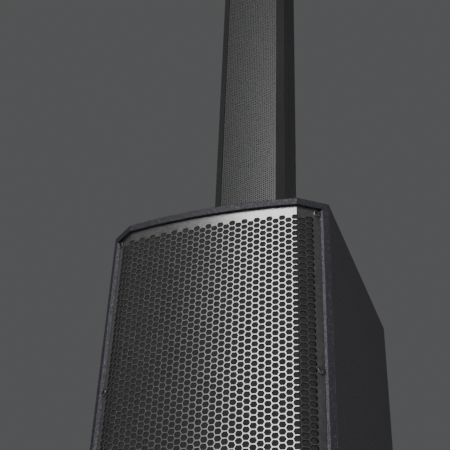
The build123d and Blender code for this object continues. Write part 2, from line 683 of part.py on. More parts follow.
def section(tag, bottom, has_cap):
    """One column section: shell, ends, grille, foam, baffle and drivers."""
    top = bottom + SECTION_H
    shell_low = bottom + COL_END_T
    shell_high = top - COL_END_T
    profile(f"{tag}_column_housing", shell_low, shell_high)

    with BuildPart() as spigot:
        with BuildSketch(Plane.XY.offset(bottom)):
            column_plan()
        extrude(amount=COL_END_T)
        with BuildSketch(Plane.XY.offset(bottom)):
            with Locations((0, COL_MID_Y)):
                Rectangle(SPIGOT_W, SPIGOT_D)
        extrude(amount=-SPIGOT_L)
        chamfer(spigot.faces().sort_by(Axis.Z)[0].edges(), 3)
    save(spigot, f"{tag}_column_spigot")

    if has_cap:
        with BuildPart() as cap:
            with BuildSketch(Plane.XY.offset(shell_high)):
                column_plan()
            extrude(amount=COL_END_T + CAP_T)
            fillet(cap.faces().sort_by(Axis.Z)[-1].edges(), 3)
        save(cap, f"{tag}_column_cap")
    else:
        socket(f"{tag}_column_socket", shell_high, COL_END_T, column_plan)

    with BuildPart() as grille:
        box_between((-COL_FACE / 2 + 0.3, COL_Y, shell_low + 0.3),
                    (COL_FACE / 2 - 0.3, COL_Y + 1.2, shell_high - 0.3))
    save(grille, f"{tag}_column_grille")

    with BuildPart() as foam:
        box_between((-COL_FACE / 2 + 1, COL_Y + 1.4, shell_low + 1),
                    (COL_FACE / 2 - 1, COL_Y + 5.2, shell_high - 1))
    save(foam, f"{tag}_column_foam")

    baffle_y = COL_Y + 10.5
    heights = [bottom + MID_FIRST + MID_PITCH * index for index in range(MID_COUNT)]
    with BuildPart() as plate:
        box_between((-COL_W / 2 + 5, baffle_y, shell_low + 0.3), (COL_W / 2 - 5, baffle_y + 10, shell_high - 0.3))
        for height in heights:
            cylinder_y(MID_R - 6, baffle_y - 1, baffle_y + 11, 0, height, Mode.SUBTRACT)
    save(plate, f"{tag}_column_baffle")

    for index, height in enumerate(heights, start=1):
        with BuildPart() as driver:
            with BuildSketch(Plane(origin=(0, baffle_y, height), x_dir=(1, 0, 0), z_dir=(0, 0, 1))):
                with BuildLine():
                    Polyline((0, 6), (9, 8), (12, 12), (30, -1.5))
                    ThreePointArc((30, -1.5), (34.5, -4), (39, -1.5))
                    Polyline((39, -1.5), (40, -3), (MID_R, -3), (MID_R, 0), (MID_R - 6.5, 0),
                             (MID_R - 6.5, 6), (22, 28), (30, 28), (30, 44), (0, 44), (0, 6))
                make_face()
            revolve(axis=Axis((0, baffle_y, height), (0, 1, 0)))
        save(driver, f"{tag}_column_driver_{index}")


socket("column_socket", TOP_Z, FLANGE_T, base_flange)
section("lower", LOWER_Z, has_cap=False)
section("upper", UPPER_Z, has_cap=True)
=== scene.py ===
"""Finishing pieces, finishes and studio for a column PA system.

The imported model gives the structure. This file adds the perforated grilles, foam, screws, handles and
rear-panel detail, gives every part its finish, and sets up the floor, lights and camera.
"""
import math

import bmesh
import bpy
from mathutils import Matrix, Vector


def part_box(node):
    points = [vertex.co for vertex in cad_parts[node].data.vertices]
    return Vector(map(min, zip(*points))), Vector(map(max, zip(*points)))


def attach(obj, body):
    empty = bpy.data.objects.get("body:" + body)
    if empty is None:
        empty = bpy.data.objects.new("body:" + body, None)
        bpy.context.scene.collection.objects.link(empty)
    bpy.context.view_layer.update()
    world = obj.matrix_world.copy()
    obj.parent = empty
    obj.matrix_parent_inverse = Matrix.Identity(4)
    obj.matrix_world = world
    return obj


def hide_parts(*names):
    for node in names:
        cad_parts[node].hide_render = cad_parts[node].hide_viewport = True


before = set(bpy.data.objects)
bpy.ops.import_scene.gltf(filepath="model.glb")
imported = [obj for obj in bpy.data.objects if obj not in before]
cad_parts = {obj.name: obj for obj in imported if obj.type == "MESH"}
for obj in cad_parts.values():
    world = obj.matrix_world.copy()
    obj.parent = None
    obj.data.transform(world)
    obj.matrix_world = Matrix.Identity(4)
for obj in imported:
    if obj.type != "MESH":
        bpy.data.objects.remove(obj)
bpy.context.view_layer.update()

bl_info = {
    "name": "Column PA system",
    "version": (1, 0, 0),
    "blender": (4, 5, 0),
    "location": "View3D > Sidebar > PA system",
    "description": "Builds the grilles, fittings, finishes and studio of a column PA system",
    "category": "Object",
}

MM = 0.001
WELD = 2e-6
SIDES = {"left": -1, "right": 1}
SECTIONS = ("lower", "upper")

# Plan of the bass cabinet's front
FRONT_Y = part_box("top_panel")[0].y
SIDE_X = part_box("top_panel")[1].x
BOW_RADIUS = 809 * MM
BOW_HALF = 131.7 * MM
SIDE_SETBACK = 41 * MM
STRIP_WIDTH = 9.4 * MM
CORNER_Y = FRONT_Y + BOW_RADIUS - math.sqrt(BOW_RADIUS ** 2 - BOW_HALF ** 2)
CHAMFER = Vector((SIDE_X - BOW_HALF, FRONT_Y + SIDE_SETBACK - CORNER_Y)).normalized()
INWARD = Vector((-CHAMFER.y, CHAMFER.x))
FRONT_CORNER = Vector((BOW_HALF, CORNER_Y))
LIP_EDGE = (Vector((SIDE_X, FRONT_Y + SIDE_SETBACK)) - FRONT_CORNER).length - STRIP_WIDTH
LIP_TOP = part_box("top_panel")[0].z


def front_depth(x, inset):
    """Plan depth of the bowed and folded front, moved back by `inset`, at a distance x from the middle."""
    radius = BOW_RADIUS - inset
    bow = FRONT_Y + BOW_RADIUS - math.sqrt(radius ** 2 - x ** 2)
    corner = FRONT_CORNER + INWARD * inset
    facet = corner.y + (abs(x) - corner.x) * CHAMFER.y / CHAMFER.x
    return max(bow, facet)


def fold_x(inset):
    """Distance from the middle at which the bow meets the folded side."""
    low, high = BOW_HALF * 0.8, BOW_HALF
    for _ in range(40):
        middle = (low + high) / 2
        radius = BOW_RADIUS - inset
        bow = FRONT_Y + BOW_RADIUS - math.sqrt(radius ** 2 - middle ** 2)
        if front_depth(middle, inset) > bow:
            high = middle
        else:
            low = middle
    return low


# ---------------------------------------------------------------------------
# Modelling helpers
# ---------------------------------------------------------------------------
def deselect_all():
    if bpy.context.object and bpy.context.object.mode != "OBJECT":
        bpy.ops.object.mode_set(mode="OBJECT")
    bpy.ops.object.select_all(action="DESELECT")


def make_active(obj):
    deselect_all()
    obj.select_set(True)
    bpy.context.view_layer.objects.active = obj


def begin(name):
    """Name the primitive that was just added and return it."""
    obj = bpy.context.object
    obj.name = name
    obj.data.name = name
    return obj


class Editing:
    """Edit mode on one object; gives its bmesh with nothing selected."""

    def __init__(self, obj):
        self.obj = obj

    def __enter__(self):
        make_active(self.obj)
        bpy.ops.object.mode_set(mode="EDIT")
        bpy.ops.mesh.select_mode(type="VERT")
        bpy.ops.mesh.select_all(action="DESELECT")
        return self

    def __exit__(self, *_):
        bpy.ops.object.mode_set(mode="OBJECT")

    def mesh(self):
        self.current = bmesh.from_edit_mesh(self.obj.data)
        return self.current

    def update(self):
        bmesh.update_edit_mesh(self.obj.data)

    def select_faces(self, test):
        bpy.ops.mesh.select_mode(type="FACE")
        bpy.ops.mesh.select_all(action="DESELECT")
        for face in self.mesh().faces:
            face.select_set(bool(test(face)))
        self.update()

    def select_edges(self, test):
        bpy.ops.mesh.select_mode(type="EDGE")
        bpy.ops.mesh.select_all(action="DESELECT")
        for edge in self.mesh().edges:
            edge.select_set(bool(test(edge)))
        self.update()

    def select_all(self):
        bpy.ops.mesh.select_all(action="SELECT")

    def selected_points(self):
        return [v for v in self.mesh().verts if v.select]

    def raise_by(self, distance):
        """Extrude the chosen faces along Z."""
        bpy.ops.mesh.extrude_region_move(TRANSFORM_OT_translate={"value": (0, 0, distance)})

    def inset(self, thickness, depth=0.0):
        bpy.ops.mesh.inset(thickness=thickness, depth=depth)

    def weld(self, distance):
        self.select_all()
        bpy.ops.mesh.remove_doubles(threshold=distance)

    def face_outward(self):
        self.select_all()
        bpy.ops.mesh.normals_make_consistent(inside=False)


def apply_modifier(obj, kind, **settings):
    """Add one modifier, set it and apply it."""
    make_active(obj)
    modifier = obj.modifiers.new(kind.lower(), kind)
    for key, value in settings.items():
        setattr(modifier, key, value)
    bpy.ops.object.modifier_apply(modifier=modifier.name)


def repeat(obj, count, step):
    """Copy a mesh along a line, count times in all, and weld the copies."""
    apply_modifier(obj, "ARRAY", count=count, use_relative_offset=False, use_constant_offset=True,
                   constant_offset_displace=step, use_merge_vertices=True, merge_threshold=WELD)


def add_cylinder(name, sides, radius, height):
    """Capped cylinder standing on the XY plane."""
    deselect_all()
    bpy.ops.mesh.primitive_cylinder_add(vertices=sides, radius=radius, depth=height,
                                        end_fill_type="NGON", location=(0, 0, height / 2))
    cylinder = begin(name)
    settle(cylinder)
    return cylinder


def duplicate(obj, name):
    make_active(obj)
    bpy.ops.object.duplicate()
    return begin(name)


def join(pieces, name):
    deselect_all()
    for piece in pieces:
        piece.select_set(True)
    bpy.context.view_layer.objects.active = pieces[0]
    bpy.ops.object.join()
    return begin(name)


def place(obj, matrix):
    """Move a mesh into place; its object stays at the origin."""
    obj.data.transform(matrix)
    obj.data.update()


def settle(obj):
    """Bake an object's place, turn and size into its mesh."""
    make_active(obj)
    bpy.ops.object.transform_apply(location=True, rotation=True, scale=True)


def smooth(obj, degrees=30):
    make_active(obj)
    bpy.ops.object.shade_smooth_by_angle(angle=math.radians(degrees))


def bevel_edges(obj, width, segments=2, degrees=30):
    apply_modifier(obj, "BEVEL", width=width, segments=segments, limit_method="ANGLE",
                   angle_limit=math.radians(degrees), harden_normals=False)


# ---------------------------------------------------------------------------
# Perforated sheet
# ---------------------------------------------------------------------------
BASS_COLUMNS = 16           # columns of holes on each side of the middle one
BASS_ROWS = 77
BASS_CORNER_CUT = 0.1       # share of a hole's edge cut off at each corner
COLUMN_COLUMNS = 13
COLUMN_ROWS = 165
HEXAGON = 6


def cell_corners(column_step, pitch):
    """Corners of one cell of a staggered hole pattern; the cells tile the sheet."""
    side = (column_step ** 2 + (pitch / 2) ** 2) / (2 * column_step)
    top = (column_step ** 2 - (pitch / 2) ** 2) / (2 * column_step)
    half = pitch / 2
    return [(side, 0), (top, half), (-top, half), (-side, 0), (-top, -half), (top, -half)]


def hole_points(column_step, pitch, web, corner_cut):
    """Points of a hole that leaves an even web round its cell, its corners cut a little or not at all."""
    side = cell_corners(column_step, pitch)[0][0]
    slant = Vector((pitch / 2, side - cell_corners(column_step, pitch)[1][0])).normalized()
    tip = side - web / 2 / slant.x
    half = (pitch - web) / 2
    shoulder = tip - slant.y * half / slant.x
    corners = [Vector(spot) for spot in ((tip, 0), (shoulder, half), (-shoulder, half),
                                         (-tip, 0), (-shoulder, -half), (shoulder, -half))]
    if not corner_cut:
        return corners
    points = []
    for index, corner in enumerate(corners):
        before = corners[index - 1]
        after = corners[(index + 1) % HEXAGON]
        points.append(corner.lerp(before, corner_cut))
        points.append(corner.lerp(after, corner_cut))
    return points


def make_cell(name, column_step, pitch, web, corner_cut):
    """One cell of sheet round one hole, lying in the XZ plane and facing -Y."""
    hole = hole_points(column_step, pitch, web, corner_cut)
    outer = cell_corners(column_step, pitch)
    share = len(hole) // HEXAGON
    deselect_all()
    bpy.ops.mesh.primitive_circle_add(vertices=len(hole), radius=(pitch - web) / 2)
    cell = begin(name)
    with Editing(cell) as edit:
        points = list(edit.mesh().verts)
        for point, spot in zip(points, hole):
            point.co = (spot.x, 0, spot.y)
        edit.update()
        edit.select_all()
        bpy.ops.mesh.extrude_region_move()
        for point in edit.selected_points():
            nearest = min(range(len(hole)), key=lambda i: (hole[i] - point.co.xz).length)
            corner = outer[nearest // share]
            point.co = (corner[0], 0, corner[1])
        edit.update()
        edit.weld(1e-6)
    return cell


def rim_edges(mesh):
    """The sheet's outer boundary, walked from its furthest point, without the holes' edges."""
    start = max((v for v in mesh.verts if v.is_boundary), key=lambda v: v.co.x)
    found = []
    todo = [start]
    while todo:
        point = todo.pop()
        for edge in point.link_edges:
            if edge.is_boundary and edge not in found:
                found.append(edge)
                todo.append(edge.other_vert(point))
    return found


def grow_border(edit, test, axis, value):
    """Extrude the chosen part of the rim and bring its new points to a straight line."""
    chosen = [edge for edge in rim_edges(edit.mesh()) if test(*(v.co for v in edge.verts))]
    bpy.ops.mesh.select_mode(type="EDGE")
    bpy.ops.mesh.select_all(action="DESELECT")
    for edge in chosen:
        edge.select_set(True)
    edit.update()
    bpy.ops.mesh.extrude_region_move()
    for point in edit.selected_points():
        point.co[axis] = value
    edit.update()


def perforated_sheet(name, low, high, column_step, web, corner_cut, side_columns, rows, first_drop):
    """Flat perforated sheet between two corners, with plain borders round its staggered holes."""
    pitch = (high.z - low.z - 2 * first_drop) / (rows - 1)
    cell = make_cell(name + "_cell", column_step, pitch, web, corner_cut)
    odd = duplicate(cell, name + "_odd")
    first_row = low.z + first_drop
    last_row = high.z - first_drop
    even_columns = 2 * (side_columns // 2) + 1
    odd_columns = 2 * ((side_columns + 1) // 2)
    place(cell, Matrix.Translation(((1 - even_columns) * column_step, 0, first_row)))
    place(odd, Matrix.Translation(((1 - odd_columns) * column_step, 0, first_row + pitch / 2)))
    for part, columns, count in ((cell, even_columns, rows), (odd, odd_columns, rows - 1)):
        repeat(part, count, (0, 0, pitch))
        repeat(part, columns, (2 * column_step, 0, 0))
    sheet = join([cell, odd], name)
    side_x = side_columns * column_step + cell_corners(column_step, pitch)[1][0]
    slack = 1e-5
    with Editing(sheet) as edit:
        edit.weld(WELD)
        grow_border(edit, lambda a, b: min(a.x, b.x) > side_x - slack, 0, high.x)
        grow_border(edit, lambda a, b: max(a.x, b.x) < slack - side_x, 0, low.x)
        grow_border(edit, lambda a, b: min(a.z, b.z) > last_row - slack and abs(a.x - b.x) > slack,
                    2, high.z)
        grow_border(edit, lambda a, b: max(a.z, b.z) < first_row + slack and abs(a.x - b.x) > slack,
                    2, low.z)
        edit.face_outward()
        if sum(face.normal.y for face in edit.mesh().faces) > 0:
            bpy.ops.mesh.flip_normals()
    return sheet


def follow_front(obj, inset):
    """Fold a flat upright sheet at both corners and bow it to the cabinet's front."""
    fold = fold_x(inset)
    with Editing(obj) as edit:
        for side in (-1, 1):
            edit.select_all()
            bpy.ops.mesh.bisect(plane_co=(side * fold, 0, 0), plane_no=(1, 0, 0))
        for point in edit.mesh().verts:
            point.co.y = front_depth(point.co.x, inset)
        edit.update()


# ---------------------------------------------------------------------------
# Finishes: every pattern is made from Object coordinates, in metres
# ---------------------------------------------------------------------------
class Finish:
    """One procedural material: a shader whose colour, gloss and relief come from patterns."""

    def __init__(self, name, **sockets):
        self.material = bpy.data.materials.new(name)
        self.material.use_nodes = True
        self.tree = self.material.node_tree
        self.shader = self.tree.nodes["Principled BSDF"]
        for socket, value in sockets.items():
            self.shader.inputs[socket.replace("_", " ")].default_value = value
        self.spot = self.node("ShaderNodeTexCoord").outputs["Object"]
        self.normal = None

    def node(self, kind, **settings):
        made = self.tree.nodes.new(kind)
        for key, value in settings.items():
            setattr(made, key, value)
        return made

    def put(self, socket, value):
        if isinstance(value, bpy.types.NodeSocket):
            self.tree.links.new(value, socket)
        else:
            socket.default_value = value

    def stretched(self, x, y, z, turn=(0, 0, 0)):
        """Coordinates scaled unevenly, for grain that runs one way."""
        mapping = self.node("ShaderNodeMapping")
        self.put(mapping.inputs["Vector"], self.spot)
        mapping.inputs["Scale"].default_value = (x, y, z)
        mapping.inputs["Rotation"].default_value = turn
        return mapping.outputs["Vector"]

    def noise(self, scale, detail=3.0, roughness=0.55, where=None):
        made = self.node("ShaderNodeTexNoise")
        self.put(made.inputs["Vector"], where or self.spot)
        made.inputs["Scale"].default_value = scale
        made.inputs["Detail"].default_value = detail
        made.inputs["Roughness"].default_value = roughness
        return made.outputs["Fac"]

    def cells(self, scale, feature="F1"):
        made = self.node("ShaderNodeTexVoronoi", feature=feature)
        self.put(made.inputs["Vector"], self.spot)
        made.inputs["Scale"].default_value = scale
        return made.outputs["Distance"]

    def spread(self, value, low, high, out_low=0.0, out_high=1.0):
        """Rescale a pattern from one range to another, held at both ends."""
        made = self.node("ShaderNodeMapRange", clamp=True)
        self.put(made.inputs["Value"], value)
        limits = {"From Min": low, "From Max": high, "To Min": out_low, "To Max": out_high}
        for socket, number in limits.items():
            made.inputs[socket].default_value = number
        return made.outputs["Result"]

    def combine(self, operation, a, b=0.0):
        made = self.node("ShaderNodeMath", operation=operation)
        self.put(made.inputs[0], a)
        self.put(made.inputs[1], b)
        return made.outputs[0]

    def axis(self, name):
        """One coordinate of the point being shaded."""
        made = self.node("ShaderNodeSeparateXYZ")
        self.put(made.inputs[0], self.spot)
        return made.outputs[name]

    def ramp(self, value, *stops):
        made = self.node("ShaderNodeValToRGB")
        self.put(made.inputs["Fac"], value)
        elements = made.color_ramp.elements
        while len(elements) < len(stops):
            elements.new(0.5)
        for element, (position, colour) in zip(elements, stops):
            element.position = position
            element.color = (*colour, 1)
        return made.outputs["Color"]

    def blend(self, share, first, second):
        made = self.node("ShaderNodeMix", data_type="RGBA")
        self.put(made.inputs["Factor"], share)
        for index, value in ((6, first), (7, second)):
            self.put(made.inputs[index], value if isinstance(value, bpy.types.NodeSocket) else (*value, 1))
        return made.outputs[2]

    def colour(self, value):
        self.put(self.shader.inputs["Base Color"], value)
        return self

    def tones(self, pattern, first, second, low=0.3, high=0.7):
        """Colour that goes from one tone to another with a pattern."""
        return self.colour(self.blend(self.spread(pattern, low, high), first, second))

    def gloss(self, value):
        self.put(self.shader.inputs["Roughness"], value)
        return self

    def sheen(self, pattern, least, most):
        """Roughness that follows a pattern between two values."""
        return self.gloss(self.spread(pattern, 0.3, 0.7, least, most))

    def relief(self, height, strength, distance):
        """Add bumps to the shading; later reliefs build on earlier ones."""
        bump = self.node("ShaderNodeBump")
        bump.inputs["Strength"].default_value = strength
        bump.inputs["Distance"].default_value = distance
        self.put(bump.inputs["Height"], height)
        if self.normal:
            self.put(bump.inputs["Normal"], self.normal)
        self.normal = bump.outputs["Normal"]
        self.put(self.shader.inputs["Normal"], self.normal)
        return self


def shade(colour, factor):
    return tuple(channel * factor for channel in colour[:3])


def lip_share(paint):
    """One on the sloped lips beside the bass grille, where paler paint is a painted highlight, else nought.
    """
    across = paint.combine("ABSOLUTE", paint.axis("X"))
    depth = paint.axis("Y")
    below_top = paint.spread(paint.axis("Z"), LIP_TOP - 0.4 * MM, LIP_TOP, 1, 0)
    # painted highlight: three tenths as strong on the left lip as on the right
    highlight_weaker_on_left = paint.spread(paint.axis("X"), -0.1, 0.1, 0.3, 1)
    shares = [below_top, highlight_weaker_on_left]
    for direction, low, high, out in ((CHAMFER, LIP_EDGE, LIP_EDGE + 0.3 * MM, (1, 0)),
                                      (INWARD, 0.1 * MM, 0.4 * MM, (0, 1))):
        along = paint.combine("ADD", paint.combine("MULTIPLY", across, direction.x),
                              paint.combine("MULTIPLY", depth, direction.y))
        start = FRONT_CORNER.dot(direction)
        shares.append(paint.spread(along, start + low, start + high, *out))
    share = shares.pop()
    while shares:
        share = paint.combine("MULTIPLY", share, shares.pop())
    return share


def speckled_cabinet_paint(colours):
    """Hard rolled-on paint with a pebbled surface and paler grains, and paler paint on the front edges'
    lips as a painted highlight.
    """
    base = colours.cabinet_paint
    paint = Finish("speckled cabinet paint", Specular_IOR_Level=0.28)
    pebbles = paint.cells(430, feature="SMOOTH_F1")
    grains = paint.noise(480, detail=3, roughness=0.65)
    clouds = paint.noise(9, detail=3)
    speck = paint.spread(grains, 0.54, 0.66)
    body = paint.ramp(clouds, (0.3, shade(base, 0.86)), (0.7, shade(base, 1.16)))
    # painted highlight: paler speckled paint for the lips beside the bass grille
    lip_highlight = paint.ramp(grains, (0.40, shade(colours.cabinet_speck, 0.55)),
                      (0.62, shade(colours.cabinet_speck, 2.2)))
    coat = paint.blend(speck, body, colours.cabinet_speck)
    paint.colour(paint.blend(lip_share(paint), coat, lip_highlight))
    paint.gloss(paint.spread(grains, 0.35, 0.7, 0.72, 0.5))
    paint.relief(pebbles, 0.55, 0.0006)
    paint.relief(grains, 0.35, 0.0003)
    return paint


def gunmetal_grille(colours):
    """Satin metallic paint on punched steel, with a fine mottle."""
    metal = Finish("gunmetal grille", Metallic=0.86)
    mottle = metal.noise(260, detail=5, roughness=0.6)
    clouds = metal.noise(14, detail=2)
    metal.tones(mottle, shade(colours.bass_grille, 0.82), shade(colours.bass_grille, 1.15), 0.35, 0.7)
    metal.gloss(metal.combine("ADD", metal.spread(clouds, 0.3, 0.7, 0.28, 0.33),
                              metal.spread(mottle, 0.3, 0.7, -0.02, 0.05)))
    metal.relief(metal.noise(900, detail=3), 0.15, 0.00008)
    return metal


def dull_cut_edge(colours):
    """Painted shade: a near-black, dull finish on the walls of the punched holes."""
    edge = Finish("painted shade on hole walls", Specular_IOR_Level=0.2)
    mottle = edge.noise(700, detail=3)
    # painted shade: the hole walls are coloured near black
    edge.tones(mottle, (0.006, 0.006, 0.006), (0.014, 0.014, 0.014), 0.35, 0.7)
    edge.sheen(mottle, 0.62, 0.76)
    edge.relief(mottle, 0.3, 0.0001)
    return edge


def dark_column_grille(colours):
    """Fine punched steel with a dull dark coat."""
    metal = Finish("dark column grille", Metallic=0.12, Specular_IOR_Level=0.3)
    mottle = metal.noise(340, detail=4)
    metal.tones(mottle, shade(colours.column_grille, 0.85), shade(colours.column_grille, 1.15), 0.35, 0.7)
    metal.sheen(mottle, 0.42, 0.50)
    metal.relief(metal.noise(1100, detail=2), 0.2, 0.0001)
    return metal


def column_enamel(colours):
    """Smooth low-gloss enamel on the column's shell, with a soft orange peel."""
    paint = Finish("column enamel", Specular_IOR_Level=0.25)
    peel = paint.noise(520, detail=2)
    clouds = paint.noise(7, detail=3)
    fine = paint.noise(2600, detail=2)
    paint.tones(clouds, shade(colours.column_shell, 0.9), shade(colours.column_shell, 1.12))
    paint.sheen(fine, 0.40, 0.50)
    paint.relief(peel, 0.22, 0.00025)
    paint.relief(fine, 0.12, 0.00006)
    return paint


def moulded_end_plastic(colours):
    """Spark-textured moulding of the column's ends, socket and cap."""
    plastic = Finish("moulded column ends")
    grit = plastic.noise(1500, detail=3, roughness=0.65)
    clouds = plastic.noise(16)
    plastic.tones(clouds, shade(colours.column_shell, 0.72), shade(colours.column_shell, 0.95))
    plastic.sheen(grit, 0.48, 0.62)
    plastic.relief(grit, 0.45, 0.00015)
    return plastic


def open_foam(name, tone):
    """Open-cell acoustic foam: dark pores in a slightly paler mesh."""
    foam = Finish(name, Specular_IOR_Level=0.15)
    pores = foam.cells(900)
    tufts = foam.noise(300, detail=4, roughness=0.7)
    foam.colour(foam.blend(foam.spread(pores, 0.15, 0.75), shade(tone, 0.45),
                           foam.ramp(tufts, (0.35, shade(tone, 0.9)), (0.7, shade(tone, 1.5)))))
    foam.gloss(foam.spread(pores, 0.0, 0.8, 0.98, 0.85))
    foam.relief(pores, 0.9, 0.0008)
    foam.relief(tufts, 0.5, 0.0010)
    return foam


def blackened_screw(colours):
    """Black-oxide steel with turning marks and a rubbed sheen."""
    steel = Finish("blackened screw", Metallic=0.9)
    scratches = steel.noise(700, detail=4, where=steel.stretched(1, 1, 6))
    rub = steel.noise(260, detail=3)
    steel.colour(steel.ramp(rub, (0.35, (0.035, 0.035, 0.038)), (0.75, (0.16, 0.16, 0.165))))
    steel.sheen(scratches, 0.28, 0.46)
    steel.relief(scratches, 0.2, 0.00008)
    return steel


def grained_plastic(name, tone, rough, grain=1300, depth=0.00014):
    """Moulded plastic with an etched grain and faint mould shading."""
    plastic = Finish(name)
    grit = plastic.noise(grain, detail=3, roughness=0.6)
    clouds = plastic.noise(22)
    plastic.tones(clouds, shade(tone, 0.85), shade(tone, 1.15))
    plastic.sheen(grit, *rough)
    plastic.relief(grit, 0.4, depth)
    return plastic


def textured_plate(colours):
    """Powder coat on the rear plate, with a fine wrinkle."""
    plate = Finish("powder coated plate", Metallic=0.15)
    wrinkle = plate.noise(800, detail=4, roughness=0.7)
    veins = plate.cells(620, feature="DISTANCE_TO_EDGE")
    tone = colours.rear_plate
    plate.tones(wrinkle, shade(tone, 0.8), shade(tone, 1.25), 0.35, 0.7)
    plate.sheen(wrinkle, 0.42, 0.6)
    plate.relief(plate.spread(veins, 0.0, 0.25), 0.25, 0.00015)
    plate.relief(wrinkle, 0.4, 0.0002)
    return plate


def brushed_metal(name, tone, direction=(1, 60, 60), rough=(0.25, 0.42), metallic=1.0):
    """Bare metal with fine lines that run one way."""
    metal = Finish(name, Metallic=metallic)
    strokes = metal.noise(28, detail=6, roughness=0.75, where=metal.stretched(*direction))
    stain = metal.noise(18, detail=3)
    metal.tones(stain, shade(tone, 0.82), shade(tone, 1.1))
    metal.sheen(strokes, *rough)
    metal.relief(strokes, 0.18, 0.00012)
    return metal


def cast_frame(colours):
    """Sand-cast aluminium under a thin black coat."""
    cast = Finish("cast driver frame", Metallic=0.35)
    sand = cast.noise(700, detail=4, roughness=0.7)
    pits = cast.cells(380)
    cast.colour(cast.ramp(sand, (0.35, (0.018, 0.018, 0.02)), (0.8, (0.06, 0.06, 0.065))))
    cast.sheen(sand, 0.5, 0.66)
    cast.relief(sand, 0.5, 0.0003)
    cast.relief(pits, 0.25, 0.0004)
    return cast


def pressed_paper(colours):
    """Pulp cone: short felted fibres in every direction under a thin black dye."""
    paper = Finish("pressed paper cone", Specular_IOR_Level=0.3)
    fibres = paper.noise(420, detail=6, roughness=0.75, where=paper.stretched(1, 0.35, 1, (0.4, 0.2, 0.7)))
    felt = paper.noise(150, detail=5, roughness=0.65)
    paper.tones(felt, (0.014, 0.014, 0.015), (0.05, 0.048, 0.046), 0.3, 0.72)
    paper.sheen(fibres, 0.82, 0.95)
    paper.relief(fibres, 0.5, 0.0003)
    paper.relief(felt, 0.3, 0.0006)
    return paper


def dull_rubber(colours):
    """Rubber with a dusty bloom and small moulding pits."""
    rubber = Finish("dull rubber", Specular_IOR_Level=0.35)
    bloom = rubber.noise(60, detail=5, roughness=0.7)
    pits = rubber.noise(1100, detail=2)
    rubber.colour(rubber.ramp(bloom, (0.35, (0.010, 0.010, 0.011)), (0.85, (0.035, 0.034, 0.033))))
    rubber.sheen(bloom, 0.62, 0.82)
    rubber.relief(pits, 0.3, 0.00015)
    return rubber


def painted_board(colours):
    """Black stained board behind the grille, its grain just showing."""
    board = Finish("stained board")
    grain = board.noise(60, detail=6, roughness=0.7, where=board.stretched(1, 1, 0.12))
    board.tones(grain, (0.008, 0.008, 0.009), (0.024, 0.023, 0.022))
    board.sheen(grain, 0.68, 0.84)
    board.relief(grain, 0.3, 0.0003)
    return board


def circuit_board(colours):
    """Green solder mask over copper tracks."""
    board = Finish("circuit board")
    tracks = board.node("ShaderNodeTexBrick", offset=0.37, squash=1.6)
    mapping = board.stretched(1, 1, 1, (math.radians(90), 0, 0))
    board.put(tracks.inputs["Vector"], mapping)
    tracks.inputs["Scale"].default_value = 70
    tracks.inputs["Mortar Size"].default_value = 0.03
    tracks.inputs["Color1"].default_value = (0.01, 0.09, 0.035, 1)
    tracks.inputs["Color2"].default_value = (0.012, 0.12, 0.045, 1)
    tracks.inputs["Mortar"].default_value = (0.03, 0.2, 0.08, 1)
    board.colour(tracks.outputs["Color"])
    board.gloss(board.spread(board.noise(300), 0.3, 0.7, 0.25, 0.4))
    board.relief(tracks.outputs["Fac"], 0.3, 0.0002)
    return board


def smoked_glass(colours):
    """Display window: near-black gloss with a faint haze of finger marks."""
    glass = Finish("smoked display glass", Coat_Weight=0.6, Coat_Roughness=0.04)
    haze = glass.noise(40, detail=4)
    glass.colour(glass.ramp(haze, (0.3, (0.004, 0.005, 0.007)), (0.9, (0.010, 0.012, 0.016))))
    glass.gloss(glass.spread(haze, 0.3, 0.75, 0.06, 0.16))
    return glass


def printed_ink(colours):
    """Pad-printed pale ink, slightly uneven."""
    ink = Finish("pale panel print")
    cover = ink.noise(900, detail=4)
    ink.colour(ink.ramp(cover, (0.25, (0.36, 0.37, 0.38)), (0.6, (0.62, 0.63, 0.64))))
    ink.sheen(cover, 0.5, 0.62)
    ink.relief(cover, 0.2, 0.00003)
    return ink


def lit_lens(name, tone, power):
    """A lit plastic lens, brighter in its middle grains."""
    lens = Finish(name, Emission_Strength=power, Coat_Weight=0.4)
    grains = lens.noise(1400, detail=2)
    glow = lens.ramp(grains, (0.2, shade(tone, 0.8)), (0.8, tone))
    lens.colour(glow)
    lens.put(lens.shader.inputs["Emission Color"], glow)
    lens.sheen(grains, 0.2, 0.3)
    return lens


